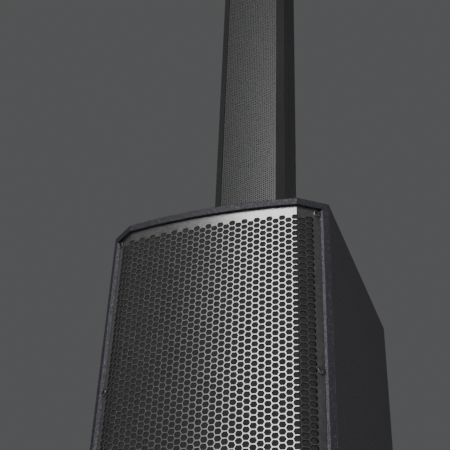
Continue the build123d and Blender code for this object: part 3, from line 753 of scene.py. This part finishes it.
FINISHES = {
    "cabinet_paint": speckled_cabinet_paint,
    "baffle_black": painted_board,
    "port_plastic": lambda c: grained_plastic("port moulding", (0.012, 0.012, 0.013), (0.5, 0.65)),
    "grille_steel": gunmetal_grille,
    "column_steel": dark_column_grille,
    "shaded_hole_wall": dull_cut_edge,
    "foam": lambda c: open_foam("acoustic foam", c.foam),
    # painted light: the same foam, 2.2 times paler, so the column grilles' holes don't read dark
    "column_foam": lambda c: open_foam("column foam", shade(c.foam, 2.2)),
    "dark_screw": blackened_screw,
    "cast_basket": cast_frame,
    "magnet_steel": lambda c: brushed_metal("plated magnet steel", (0.42, 0.41, 0.38), (60, 60, 2)),
    "paper_cone": pressed_paper,
    "roll_rubber": dull_rubber,
    "handle_plastic": lambda c: grained_plastic("handle moulding", (0.020, 0.020, 0.022), (0.42, 0.56),
                                                1000, 0.0002),
    "plate_metal": textured_plate,
    "cooler": lambda c: brushed_metal("black anodised cooler", (0.05, 0.05, 0.055), (60, 60, 1.5),
                                      (0.35, 0.5), 0.8),
    "board_green": circuit_board,
    "supply": lambda c: brushed_metal("zinc supply case", (0.5, 0.5, 0.5), (1, 60, 60), (0.3, 0.45)),
    "black_plastic": lambda c: grained_plastic("control moulding", (0.014, 0.014, 0.015), (0.34, 0.48),
                                               1600, 0.0001),
    "display_glass": smoked_glass,
    "column_shell": column_enamel,
    "column_ends": moulded_end_plastic,
    "driver_frame": lambda c: grained_plastic("column driver moulding", (0.02, 0.02, 0.02), (0.5, 0.7),
                                              900, 0.0002),
    "panel_print": printed_ink,
    "green_lamp": lambda c: lit_lens("green status lens", (0.08, 0.75, 0.22), 1.2),
    "display_pixels": lambda c: lit_lens("display segments", (0.35, 0.75, 0.9), 1.6),
    "contact_metal": lambda c: brushed_metal("plated contact", (0.66, 0.52, 0.26), (60, 60, 2),
                                             (0.2, 0.34)),
    "bright_steel": lambda c: brushed_metal("bright steel", (0.55, 0.55, 0.56), (60, 60, 2), (0.2, 0.34)),
}
MADE = {}


def finish(name):
    """The material for a finish, made when it's first asked for."""
    if name not in MADE:
        MADE[name] = FINISHES[name](bpy.context.scene.pa_colours).material
    return MADE[name]


def fit(obj, body, slot, replaces=(), look=None):
    """Give a finished piece its finish and its body, and hide the CAD nodes it stands for."""
    obj.data.materials.clear()
    obj.data.materials.append(finish(look or slot))
    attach(obj, body)
    if replaces:
        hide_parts(*replaces)


# ---------------------------------------------------------------------------
# Settings
# ---------------------------------------------------------------------------
def length(name, description, default):
    return bpy.props.FloatProperty(name=name, description=description, default=default, min=0.0,
                                   precision=5, subtype="DISTANCE", unit="LENGTH")


def colour(name, description, default):
    return bpy.props.FloatVectorProperty(name=name, description=description, default=default, size=3,
                                         min=0.0, max=1.0, subtype="COLOR")


def power(name, description, default):
    return bpy.props.FloatProperty(name=name, description=description, default=default, min=0.0,
                                   subtype="POWER", unit="POWER")


class GrilleSizes(bpy.types.PropertyGroup):
    """Sizes of the punched sheets and their screws"""
    bass_step: length("Bass column step", "Distance between neighbouring columns of holes", 9.093 * MM)
    bass_web: length("Bass web", "Width of the steel left between the hexagon holes", 1.22 * MM)
    bass_drop: length("Bass first row", "First row of holes below the grille's top edge", 17.84 * MM)
    bass_inset: length("Bass recess", "How far the bass grille lies behind the front band", 5 * MM)
    bass_sheet: length("Bass sheet", "Thickness of the bass grille", 0.8 * MM)
    column_step: length("Column step", "Distance between columns of holes in the column grilles", 3.55 * MM)
    column_web: length("Column web", "Width of the steel left between the column grilles' holes", 2.25 * MM)
    column_drop: length("Column first row", "First row of holes below a column grille's top", 4.2 * MM)
    column_bow: length("Column bow", "How far a column grille bows out at its middle", 2 * MM)
    column_sheet: length("Column sheet", "Thickness of a column grille", 1.0 * MM)
    screw_head: length("Screw head", "Radius of a grille screw's head", 5.4 * MM)
    screw_rise: length("Screw rise", "Height of a grille screw's head", 2.6 * MM)


class HandleSizes(bpy.types.PropertyGroup):
    """Sizes of the side handles"""
    flange: length("Flange", "Width of the flange round the opening", 8 * MM)
    rise: length("Flange rise", "How far the flange stands off the side", 1.6 * MM)
    corner: length("Corner", "Corner radius of the opening", 12 * MM)
    wall: length("Wall", "Thickness of the cup", 2.4 * MM)
    bar: length("Grip", "Radius of the grip bar", 9.5 * MM)


class PartColours(bpy.types.PropertyGroup):
    """Main colours of the object"""
    cabinet_paint: colour("Cabinet paint", "Main colour of the cabinet", (0.0072, 0.0067, 0.0106))
    cabinet_speck: colour("Cabinet specks", "Paler grains in the cabinet paint", (0.038, 0.0367, 0.0440))
    bass_grille: colour("Bass grille", "Satin metallic colour of the bass grille", (0.142, 0.143, 0.142))
    column_grille: colour("Column grille", "Colour of the column grilles", (0.0235, 0.0238, 0.0242))
    column_shell: colour("Column shell", "Colour of the column's sides", (0.014, 0.014, 0.0148))
    foam: colour("Foam", "Colour of the foam behind the grilles", (0.0185, 0.0187, 0.0187))
    rear_plate: colour("Rear plate", "Colour of the amplifier plate", (0.020, 0.020, 0.021))


class StageSettings(bpy.types.PropertyGroup):
    """Floor and lights"""
    floor_colour: colour("Floor", "Colour of the studio floor", (0.62, 0.62, 0.61))
    key_power: power("Key light", "Power of the main soft light", 130.0)
    fill_power: power("Fill light", "Power of the weaker light", 25.0)
    rear_power: power("Rear light", "Power of the light from behind", 70.0)
    sky: bpy.props.FloatProperty(name="Surroundings", description="Brightness of the plain surroundings",
                                 default=0.10, min=0.0)


# ---------------------------------------------------------------------------
# Grilles and foam
# ---------------------------------------------------------------------------
WALL_TILT = 0.35            # a face that looks forward less than this is a hole's wall
FOAM_GAP = 0.4 * MM
FOAM_RIPPLE = 0.15 * MM
BASS_FOAM = 4.6 * MM
COLUMN_FOAM = 3.4 * MM


class PASYS_OT_bass_grille(bpy.types.Operator):
    """Punch the hexagon grille of the bass cabinet and bow it to the front"""
    bl_idname = "pasys.bass_grille"
    bl_label = "Bass grille"

    def execute(self, context):
        sizes = context.scene.pa_grilles
        low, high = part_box("sub_grille")
        sheet = perforated_sheet("bass_grille", low, high, sizes.bass_step, sizes.bass_web,
                                 BASS_CORNER_CUT, BASS_COLUMNS, BASS_ROWS, sizes.bass_drop)
        follow_front(sheet, sizes.bass_inset)
        apply_modifier(sheet, "SOLIDIFY", thickness=sizes.bass_sheet, offset=-1, use_even_offset=True)
        smooth(sheet, 20)
        fit(sheet, "cabinet", "grille_steel", ["sub_grille"])
        # painted shade on the walls of the grille's holes
        coat_hole_walls(sheet)
        return {"FINISHED"}


class PASYS_OT_column_grilles(bpy.types.Operator):
    """Punch the fine grille of both column sections"""
    bl_idname = "pasys.column_grilles"
    bl_label = "Column grilles"

    def execute(self, context):
        sizes = context.scene.pa_grilles
        low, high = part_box("lower_column_grille")
        sheet = perforated_sheet("lower_grille", low, high, sizes.column_step, sizes.column_web,
                                 0, COLUMN_COLUMNS, COLUMN_ROWS, sizes.column_drop)
        with Editing(sheet) as edit:
            for point in edit.mesh().verts:
                point.co.y = low.y + sizes.column_bow * (point.co.x / high.x) ** 2
            edit.update()
        apply_modifier(sheet, "SOLIDIFY", thickness=sizes.column_sheet, offset=-1)
        smooth(sheet, 20)
        upper = duplicate(sheet, "upper_grille")
        place(upper, Matrix.Translation((0, 0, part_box("upper_column_grille")[0].z - low.z)))
        for section, piece in (("lower", sheet), ("upper", upper)):
            fit(piece, section + "_column", "column_steel", [section + "_column_grille"])
        return {"FINISHED"}


def coat_hole_walls(sheet):
    """Paint shade on the walls of a sheet's holes with a near-black, dull finish."""
    sheet.data.materials.append(finish("shaded_hole_wall"))
    for face in sheet.data.polygons:
        if abs(face.normal.y) < WALL_TILT:
            face.material_index = 1


def foam_sheet(name, low, high, columns, rows, depth_at, thickness):
    """Sheet of foam between two corners; depth_at gives its front face at each distance from the middle."""
    deselect_all()
    bpy.ops.mesh.primitive_grid_add(x_subdivisions=columns, y_subdivisions=rows, size=1,
                                    location=((low.x + high.x) / 2, 0, (low.z + high.z) / 2),
                                    rotation=(math.radians(90), 0, 0))
    sheet = begin(name)
    sheet.scale = (high.x - low.x, high.z - low.z, 1)
    settle(sheet)
    with Editing(sheet) as edit:
        for point in edit.mesh().verts:
            ripple = math.sin(point.co.x * 61 + 2 * math.sin(point.co.z * 17)) * math.sin(point.co.z * 43)
            point.co.y = depth_at(point.co.x) + FOAM_RIPPLE * ripple
        edit.update()
    apply_modifier(sheet, "SOLIDIFY", thickness=thickness, offset=-1, use_even_offset=True)
    bevel_edges(sheet, 0.8 * MM, degrees=60)
    smooth(sheet, 30)
    return sheet


class PASYS_OT_foam(bpy.types.Operator):
    """Lay the acoustic foam behind each grille"""
    bl_idname = "pasys.foam"
    bl_label = "Foam"

    def execute(self, context):
        sizes = context.scene.pa_grilles
        low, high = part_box("grille_foam")
        behind = sizes.bass_inset + sizes.bass_sheet + FOAM_GAP
        bass = foam_sheet("bass_foam", low, high, 60, 70, lambda x: front_depth(x, behind), BASS_FOAM)
        fit(bass, "cabinet", "foam", ["grille_foam"])
        for section in SECTIONS:
            low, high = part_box(section + "_column_foam")
            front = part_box(section + "_column_grille")[0].y + sizes.column_sheet + FOAM_GAP
            piece = foam_sheet(section + "_foam", low, high, 16, 60,
                               lambda x: front + sizes.column_bow * (x / high.x) ** 2, COLUMN_FOAM)
            # the column foam gets the paler copy, painted light in the grilles' holes
            fit(piece, section + "_column", "foam", [section + "_column_foam"], look="column_foam")
        return {"FINISHED"}


# ---------------------------------------------------------------------------
# Screws
# ---------------------------------------------------------------------------
def make_pan_screw(name, radius, rise, recess, sides=40):
    """Pan head with a rounded rim and a hexagon socket, standing on the XY plane."""
    head = add_cylinder(name, sides, radius, rise)
    half_side = math.radians(30)
    with Editing(head) as edit:
        edit.select_edges(lambda e: all(v.co.z > rise * 0.99 for v in e.verts))
        bpy.ops.mesh.bevel(offset=rise * 0.62, segments=5, profile=0.55)
        edit.select_faces(lambda f: f.normal.z > 0.999 and f.calc_area() > recess ** 2)
        edit.inset((radius - rise * 0.62 - recess) * 0.96)
        for point in edit.selected_points():
            turn = math.atan2(point.co.y, point.co.x)
            reach = recess * math.cos(half_side) / math.cos(turn % (2 * half_side) - half_side)
            point.co.x, point.co.y = reach * math.cos(turn), reach * math.sin(turn)
        edit.update()
        edit.raise_by(-rise * 0.55)
        edit.inset(recess * 0.35, -rise * 0.12)
    smooth(head, 35)
    return head


def copies_at(first, places, name):
    """Put one copy of a finished shape at each place and join them as one piece."""
    made = []
    for index, matrix in enumerate(places):
        piece = duplicate(first, f"{name}_{index}")
        place(piece, matrix)
        made.append(piece)
    bpy.data.objects.remove(first)
    return join(made, name)


def standing(origin, outward, up=(0, 0, 1)):
    """Frame whose Z points outward and whose Y points up, at a place."""
    z = Vector(outward).normalized()
    y = Vector(up)
    x = y.cross(z).normalized()
    turned = Matrix((x, z.cross(x), z)).transposed().to_4x4()
    return Matrix.Translation(origin) @ turned


GRILLE_SCREWS = 4           # down each side
SCREW_DROP = 17.8 * MM      # end screws inside the cabinet's top and bottom
SCREW_REACH = 32.36 * MM    # along the chamfer from its inner corner


class PASYS_OT_grille_screws(bpy.types.Operator):
    """Put four pan-head screws down each side of the bass grille"""
    bl_idname = "pasys.grille_screws"
    bl_label = "Grille screws"

    def execute(self, context):
        sizes = context.scene.pa_grilles
        low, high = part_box("grille_screws")
        middle = (low.z + high.z) / 2
        half_span = (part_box("top_panel")[1].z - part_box("bottom_panel")[0].z) / 2 - SCREW_DROP
        spot = FRONT_CORNER + CHAMFER * SCREW_REACH + INWARD * sizes.bass_inset
        places = []
        for side in SIDES.values():
            outward = (-side * INWARD.x, -INWARD.y, 0)
            for index in range(GRILLE_SCREWS):
                height = middle - half_span + 2 * half_span * index / (GRILLE_SCREWS - 1)
                places.append(standing((side * spot.x, spot.y, height), outward))
        head = make_pan_screw("grille_screw", sizes.screw_head, sizes.screw_rise, 2.3 * MM)
        fit(copies_at(head, places, "grille_screw_set"), "cabinet", "dark_screw", ["grille_screws"])
        return {"FINISHED"}


# ---------------------------------------------------------------------------
# Handles
# ---------------------------------------------------------------------------
GRIP_BACK = 18 * MM
GRIP_DROP = 13 * MM
GRIP_RINGS = 60


def rounded_plate(name, width, height, corner, segments=7):
    """Flat rounded rectangle in the XY plane, facing +Z."""
    deselect_all()
    bpy.ops.mesh.primitive_plane_add(size=1)
    plate = begin(name)
    plate.scale = (width, height, 1)
    settle(plate)
    with Editing(plate) as edit:
        edit.select_all()
        bpy.ops.mesh.bevel(offset=corner, segments=segments, affect="VERTICES")
    return plate


def make_handle_cup(name, width, height, depth, sizes):
    """Flange and cup of a side handle, drawn round the opening's middle and facing +Z."""
    cup = rounded_plate(name, width + 2 * sizes.flange, height + 2 * sizes.flange,
                        sizes.corner + sizes.flange)
    lip = sizes.wall + 0.4 * MM
    with Editing(cup) as edit:
        edit.select_faces(lambda f: True)
        edit.raise_by(sizes.rise * 0.55)
        edit.inset(0.5 * MM, sizes.rise * 0.3)
        edit.inset(0.7 * MM, sizes.rise * 0.15)
        edit.inset(sizes.flange - 1.2 * MM)
        edit.inset(lip * 0.5, -0.4 * MM)
        edit.inset(lip * 0.3, -0.8 * MM)
        edit.inset(lip * 0.2, -1.6 * MM)
        edit.raise_by(10 * MM - depth)
        bpy.ops.transform.resize(value=((width - 8 * MM) / width, (height - 6 * MM) / height, 1))
        edit.inset(1.5 * MM, -2.5 * MM)
        edit.inset(2.5 * MM, -1.5 * MM)
        edit.select_faces(lambda f: all(abs(v.co.z) < 1e-6 for v in f.verts))
        bpy.ops.mesh.delete(type="FACE")
    apply_modifier(cup, "SOLIDIFY", thickness=sizes.wall * 0.8, offset=-1, use_even_offset=True)
    return cup


def make_grip(name, length_, radius):
    """Grip bar along X with moulded finger ridges and flared ends."""
    deselect_all()
    bpy.ops.mesh.primitive_cylinder_add(vertices=36, radius=radius, depth=length_, end_fill_type="NGON",
                                        rotation=(0, math.radians(90), 0))
    grip = begin(name)
    settle(grip)
    with Editing(grip) as edit:
        for index in range(1, GRIP_RINGS):
            edit.select_all()
            bpy.ops.mesh.bisect(plane_co=(length_ * (index / GRIP_RINGS - 0.5), 0, 0), plane_no=(1, 0, 0))
        for point in edit.mesh().verts:
            along = abs(point.co.x) / (length_ / 2)
            ring = round((point.co.x / length_ + 0.5) * GRIP_RINGS)
            ridge = -0.045 if along < 0.62 and ring % 3 == 0 else 0
            flare = 0.32 * max(0, (along - 0.86) / 0.14) ** 2
            point.co.y *= 1 + ridge + flare
            point.co.z *= 1 + ridge + flare
        edit.update()
    return grip


class PASYS_OT_handles(bpy.types.Operator):
    """Model the recessed handle on each side"""
    bl_idname = "pasys.handles"
    bl_label = "Side handles"

    def execute(self, context):
        sizes = context.scene.pa_handles
        for name, side in SIDES.items():
            low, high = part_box(name + "_handle")
            middle = (low + high) / 2
            width, height = high.y - low.y, high.z - low.z
            depth = high.x - low.x
            cup = make_handle_cup(name + "_cup", width, height, depth, sizes)
            grip = make_grip(name + "_grip", width - 7 * MM, sizes.bar)
            place(grip, Matrix.Translation((0, GRIP_BACK, -GRIP_DROP)))
            handle = join([cup, grip], name + "_carry_handle")
            place(handle, standing((side * SIDE_X, middle.y, middle.z), (side, 0, 0)))
            smooth(handle, 32)
            fit(handle, "cabinet", "handle_plastic", [name + "_handle"])
            screw = make_pan_screw(name + "_handle_screw", 3.4 * MM, 1.7 * MM, 1.5 * MM, 28)
            spots = [standing((side * (SIDE_X + sizes.rise * 0.9), middle.y + dy * (width / 2 - 6 * MM),
                               middle.z + dz * (height / 2 + sizes.flange * 0.5)), (side, 0, 0))
                     for dy in (-1, 1) for dz in (-1, 1)]
            fit(copies_at(screw, spots, name + "_handle_screws"), "cabinet", "dark_screw")
        return {"FINISHED"}


# ---------------------------------------------------------------------------
# Rear panel
# ---------------------------------------------------------------------------
REAR = (0, 1, 0)
INK = 0.12 * MM
KNOBS = ("level_knob_1", "level_knob_2")
KNOB_TURN = 150             # degrees each way from the middle
DIGIT_REACH = 15.2 * MM
JACKS_X = (82, 41, 0)       # in millimetres, as the next tables
JACKS_Z = 582
CHANNELS_Z = 606
OUTLINES = ((44, 566, 126, 100), (-64, 592, 80, 54), (-58.5, 534, 70, 42), (-44, 408, 112, 46))
RULES = ((82, 634, 26), (41, 634, 26), (0, 634, 26), (-64, 634, 60),
         (60, 458, 96), (60, 446, 96), (60, 434, 96), (60, 422, 60))
ROCKER_Z = 408
ROCKER_LEAN = math.radians(9)
ROCKER_DEPTH = 6 * MM       # its pivot behind the plate's face
ROCKER_MARK = 5.6 * MM      # each mark from the middle
ROCKER_FACE = 7.25 * MM     # the marks from the pivot
ROCKER_DISH = 0.13
LAMPS = ((61.5, 556), (20.5, 556), (-46, 560), (-18, 434))


def on_rear(x, y, z):
    """Frame that faces backwards at a place."""
    return standing((x, y, z), REAR)


def centre(node):
    low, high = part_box(node)
    return (low + high) / 2


def raised_mark(name, width, height, rise, corner=None):
    """Thin raised bar with rounded ends, on the XY plane."""
    mark = rounded_plate(name, width, height, corner or min(width, height) * 0.45, 3)
    with Editing(mark) as edit:
        edit.select_faces(lambda f: True)
        edit.raise_by(rise)
    with Editing(mark) as edit:
        edit.face_outward()
    return mark


def ring_mark(name, width, height, corner, line, rise):
    """Raised outline of a rounded rectangle, on the XY plane."""
    mark = rounded_plate(name, width, height, corner, 6)
    with Editing(mark) as edit:
        edit.select_faces(lambda f: True)
        edit.inset(line)
        bpy.ops.mesh.delete(type="FACE")
        edit.select_all()
        edit.raise_by(rise)
        edit.face_outward()
    return mark


def numeral(name, text, size, rise):
    """A number as a thin raised mesh, centred on the XY plane."""
    deselect_all()
    bpy.ops.object.text_add()
    letters = begin(name)
    letters.data.body = text
    letters.data.size = size
    letters.data.align_x = "CENTER"
    letters.data.align_y = "CENTER"
    letters.data.extrude = rise / 2
    bpy.ops.object.convert(target="MESH")
    letters = begin(name)
    settle(letters)
    return letters


class PASYS_OT_rear_print(bpy.types.Operator):
    """Print the scales, numbers and group outlines on the amplifier plate"""
    bl_idname = "pasys.rear_print"
    bl_label = "Rear print"

    def execute(self, context):
        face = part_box("amp_plate")[1].y
        marks = []
        for knob in KNOBS:
            middle = centre(knob)
            for index in range(11):
                turn = math.radians(-KNOB_TURN + KNOB_TURN / 5 * index)
                major = index in (0, 5, 10)
                mark = raised_mark("tick", 0.5 * MM, (2.6 if major else 1.7) * MM, INK)
                spin = Matrix.Rotation(-turn, 4, "Z") @ Matrix.Translation((0, 11.9 * MM, 0))
                place(mark, on_rear(middle.x, face, middle.z) @ spin)
                marks.append(mark)
            for text, turn in (("0", math.radians(-KNOB_TURN)), ("10", math.radians(KNOB_TURN))):
                digits = numeral("digits", text, 3.4 * MM, INK)
                across, up = -math.sin(turn) * DIGIT_REACH, math.cos(turn) * DIGIT_REACH
                place(digits, on_rear(middle.x + across, face, middle.z + up))
                marks.append(digits)
        for index, x in enumerate(JACKS_X, start=1):
            digits = numeral("channel", str(index), 5 * MM, INK)
            place(digits, on_rear(x * MM, face, CHANNELS_Z * MM))
            marks.append(digits)
        for x, z, width, height in OUTLINES:
            outline = ring_mark("outline", width * MM, height * MM, 5 * MM, 0.45 * MM, INK)
            place(outline, on_rear(x * MM, face, z * MM))
            marks.append(outline)
        for x, z, width in RULES:
            rule = raised_mark("rule", width * MM, 0.5 * MM, INK)
            place(rule, on_rear(x * MM, face, z * MM))
            marks.append(rule)
        fit(join(marks, "panel_print"), "cabinet", "plate_metal", look="panel_print")
        return {"FINISHED"}


class PASYS_OT_knob_marks(bpy.types.Operator):
    """Put the pointers on the level knobs and the dished cap on the menu encoder"""
    bl_idname = "pasys.knob_marks"
    bl_label = "Knob marks"

    def execute(self, context):
        for knob in KNOBS:
            middle, top = centre(knob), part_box(knob)[1].y
            pointer = raised_mark(knob + "_pointer", 1.3 * MM, 5.2 * MM, 0.3 * MM)
            place(pointer, on_rear(middle.x, top, middle.z + 4.2 * MM))
            fit(pointer, knob, "black_plastic", look="panel_print")
        middle, top = centre("menu_encoder"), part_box("menu_encoder")[1].y
        cap = add_cylinder("encoder_cap", 40, 8.6 * MM, 0.5 * MM)
        with Editing(cap) as edit:
            edit.select_faces(lambda f: f.normal.z > 0.9)
            edit.inset(0.7 * MM)
            edit.inset(0.5 * MM, -0.25 * MM)
            edit.inset(5.2 * MM, -0.1 * MM)
        bevel_edges(cap, 0.12 * MM, 1, 40)
        smooth(cap, 30)
        place(cap, on_rear(middle.x, top, middle.z))
        fit(cap, "menu_encoder", "black_plastic", look="bright_steel")
        low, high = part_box("power_rocker")
        outward = Vector((0, math.cos(ROCKER_LEAN), -math.sin(ROCKER_LEAN)))
        along = Vector((0, math.sin(ROCKER_LEAN), math.cos(ROCKER_LEAN)))
        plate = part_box("amp_plate")[1].y
        face = Vector(((low.x + high.x) / 2, plate - ROCKER_DEPTH, ROCKER_Z * MM)) + outward * ROCKER_FACE
        bar = raised_mark("rocker_on", 0.9 * MM, 4.4 * MM, 0.2 * MM)
        place(bar, standing(face + along * ROCKER_MARK, outward - along * ROCKER_DISH, along))
        ring = ring_mark("rocker_off", 4.4 * MM, 4.4 * MM, 2.18 * MM, 0.8 * MM, 0.2 * MM)
        place(ring, standing(face - along * ROCKER_MARK, outward + along * ROCKER_DISH, along))
        fit(join([bar, ring], "rocker_marks"), "power_rocker", "black_plastic", look="panel_print")
        return {"FINISHED"}


class PASYS_OT_rear_hardware(bpy.types.Operator):
    """Add the screws, jack latches and the inlet's fixings on the amplifier plate"""
    bl_idname = "pasys.rear_hardware"
    bl_label = "Rear hardware"

    def execute(self, context):
        jack_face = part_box("line_jacks")[1].y
        inlet = centre("mains_inlet")
        inlet_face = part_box("mains_inlet")[1].y
        spots = [on_rear((x + dx) * MM, jack_face, (JACKS_Z + dz) * MM)
                 for x in JACKS_X for dx, dz in ((-10, 12.4), (10, -12.4))]
        spots += [on_rear(inlet.x + dx * MM, inlet_face, inlet.z) for dx in (-19.6, 19.6)]
        screw = make_pan_screw("socket_screw", 1.9 * MM, 0.9 * MM, 0.8 * MM, 24)
        fit(copies_at(screw, spots, "socket_screws"), "cabinet", "dark_screw")
        deselect_all()
        bpy.ops.mesh.primitive_cube_add(size=1)
        latch = begin("jack_latch")
        latch.scale = (6.4 * MM, 3 * MM, 1.4 * MM)
        settle(latch)
        with Editing(latch) as edit:
            edit.select_faces(lambda f: f.normal.z > 0.9)
            edit.inset(0.6 * MM, 0.3 * MM)
            edit.inset(0.3 * MM, -0.2 * MM)
        bevel_edges(latch, 0.15 * MM, 2, 40)
        smooth(latch, 30)
        spots = [on_rear(x * MM, jack_face + 0.4 * MM, (JACKS_Z + 11.8) * MM) for x in JACKS_X]
        fit(copies_at(latch, spots, "jack_latches"), "cabinet", "black_plastic", look="bright_steel")
        deselect_all()
        bpy.ops.mesh.primitive_torus_add(major_radius=10.1 * MM, minor_radius=0.7 * MM, major_segments=48,
                                         minor_segments=10)
        rim = begin("jack_rim")
        spots = [on_rear(x * MM, jack_face, JACKS_Z * MM) for x in JACKS_X]
        smooth(rim, 60)
        fit(copies_at(rim, spots, "jack_rims"), "cabinet", "black_plastic")
        return {"FINISHED"}


def make_lamp(name, radius, rise):
    """Small domed lens."""
    lens = add_cylinder(name, 24, radius, rise)
    with Editing(lens) as edit:
        edit.select_edges(lambda e: all(v.co.z > rise * 0.99 for v in e.verts))
        bpy.ops.mesh.bevel(offset=rise * 0.8, segments=4, profile=0.5)
    smooth(lens, 40)
    return lens


class PASYS_OT_display(bpy.types.Operator):
    """Light the display's level bars and the status lamps"""
    bl_idname = "pasys.display"
    bl_label = "Display and lamps"

    def execute(self, context):
        window = centre("display_window")
        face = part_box("display_window")[1].y
        segments = []
        for row, lit in enumerate((15, 11, 13)):
            for index in range(lit):
                bar = raised_mark("bar", 2.1 * MM, 3.4 * MM, 0.06 * MM, 0.3 * MM)
                across, up = (27 - 3 * index) * MM, (8.5 - 8.5 * row) * MM
                place(bar, on_rear(window.x + across, face, window.z + up))
                segments.append(bar)
        frame_line = ring_mark("bar_frame", 60 * MM, 34 * MM, 2 * MM, 0.35 * MM, 0.06 * MM)
        place(frame_line, on_rear(window.x, face, window.z))
        segments.append(frame_line)
        fit(join(segments, "display_segments"), "cabinet", "display_glass", look="display_pixels")
        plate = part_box("amp_plate")[1].y
        spots = [on_rear(x * MM, plate, z * MM) for x, z in LAMPS]
        lamp = make_lamp("status_lamp", 1.5 * MM, 1.1 * MM)
        fit(copies_at(lamp, spots, "status_lamps"), "cabinet", "display_glass", look="green_lamp")
        return {"FINISHED"}


# ---------------------------------------------------------------------------
# Finishes of the structure, and the studio
# ---------------------------------------------------------------------------
class PASYS_OT_finishes(bpy.types.Operator):
    """Give every part of the structure its own finish"""
    bl_idname = "pasys.finishes"
    bl_label = "Finishes"

    def execute(self, context):
        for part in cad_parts.values():
            for slot in part.material_slots:
                kind = slot.material.name.split(".")[0]
                if kind in FINISHES:
                    slot.material = finish(kind)
        return {"FINISHED"}


CAMERA_PLACE = (0.38759, -1.17929, 0.09377)
CAMERA_TURNS = ((20.893, "Z"), (90 + 32.343, "X"), (2.364, "Z"))
CAMERA_LENS = 66.523
FLOOR_SPAN = 16
LEFT_SHARE = 0.16           # the left light's part of the fill's power


def soft_light(name, place_at, look_at, width, height, power):
    """Rectangular soft light at a place, turned to a point."""
    deselect_all()
    bpy.ops.object.light_add(type="AREA", location=place_at)
    lamp = bpy.context.object
    lamp.name = name
    lamp.data.shape = "RECTANGLE"
    lamp.data.size = width
    lamp.data.size_y = height
    lamp.data.energy = power
    aim = Vector(look_at) - Vector(place_at)
    lamp.rotation_euler = aim.to_track_quat("-Z", "Y").to_euler()


class PASYS_OT_stage(bpy.types.Operator):
    """Set the plain floor, the soft lights and the camera"""
    bl_idname = "pasys.stage"
    bl_label = "Studio"

    def execute(self, context):
        settings = context.scene.pa_stage
        deselect_all()
        bpy.ops.mesh.primitive_plane_add(size=FLOOR_SPAN, location=(0, 0, -0.5 * MM))
        floor = begin("studio_floor")
        settle(floor)
        ground = Finish("studio floor")
        dust = ground.noise(3, detail=4)
        ground.tones(dust, shade(settings.floor_colour, 0.97), shade(settings.floor_colour, 1.03))
        ground.sheen(dust, 0.7, 0.8)
        floor.data.materials.append(ground.material)
        world = bpy.data.worlds.new("plain surroundings")
        world.use_nodes = True
        sky = world.node_tree.nodes["Background"]
        sky.inputs["Color"].default_value = (0.92, 0.93, 0.95, 1)
        sky.inputs["Strength"].default_value = settings.sky
        context.scene.world = world
        soft_light("key_light", (0.04, -2.4, 1.75), (0.0, -0.2, 1.75), 1.0, 2.7, settings.key_power)
        soft_light("left_fill", (-2.3, -0.9, 1.3), (0, -0.1, 0.8), 1.4, 1.8,
                   settings.fill_power * LEFT_SHARE)
        soft_light("right_fill", (2.4, 0.5, 0.9), (0.1, 0.1, 0.8), 1.6, 1.6, settings.fill_power)
        soft_light("rear_light", (-0.8, 2.6, 1.7), (0, 0.2, 0.8), 1.8, 2.2, settings.rear_power)
        deselect_all()
        bpy.ops.object.camera_add()
        camera = bpy.context.object
        camera.name = "low_camera"
        camera.data.lens = CAMERA_LENS
        camera.data.sensor_width = 36
        camera.data.clip_start = 0.01
        spot = Matrix.Translation(CAMERA_PLACE)
        for degrees, axis in CAMERA_TURNS:
            spot = spot @ Matrix.Rotation(math.radians(degrees), 4, axis)
        camera.matrix_world = spot
        context.scene.camera = camera
        return {"FINISHED"}


class PASYS_PT_panel(bpy.types.Panel):
    """Sizes, colours and steps of the PA system"""
    bl_label = "PA system"
    bl_idname = "PASYS_PT_panel"
    bl_space_type = "VIEW_3D"
    bl_region_type = "UI"
    bl_category = "PA system"

    def draw(self, context):
        for group in (context.scene.pa_grilles, context.scene.pa_handles, context.scene.pa_colours,
                      context.scene.pa_stage):
            box = self.layout.box()
            for name in group.__annotations__:
                box.prop(group, name)
        for step in STEPS:
            self.layout.operator(step.bl_idname)


SETTINGS = {
    "pa_grilles": GrilleSizes,
    "pa_handles": HandleSizes,
    "pa_colours": PartColours,
    "pa_stage": StageSettings,
}
STEPS = (PASYS_OT_stage, PASYS_OT_finishes, PASYS_OT_bass_grille, PASYS_OT_column_grilles, PASYS_OT_foam,
         PASYS_OT_grille_screws, PASYS_OT_handles, PASYS_OT_rear_print, PASYS_OT_knob_marks,
         PASYS_OT_rear_hardware, PASYS_OT_display)


def register():
    for group in (*SETTINGS.values(), *STEPS, PASYS_PT_panel):
        bpy.utils.register_class(group)
    for name, group in SETTINGS.items():
        setattr(bpy.types.Scene, name, bpy.props.PointerProperty(type=group))


def unregister():
    for name in SETTINGS:
        delattr(bpy.types.Scene, name)
    for group in reversed((*SETTINGS.values(), *STEPS, PASYS_PT_panel)):
        bpy.utils.unregister_class(group)


def main():
    register()
    for step in STEPS:
        family, action = step.bl_idname.split(".")
        getattr(getattr(bpy.ops, family), action)()


if __name__ == "__main__":
    main()
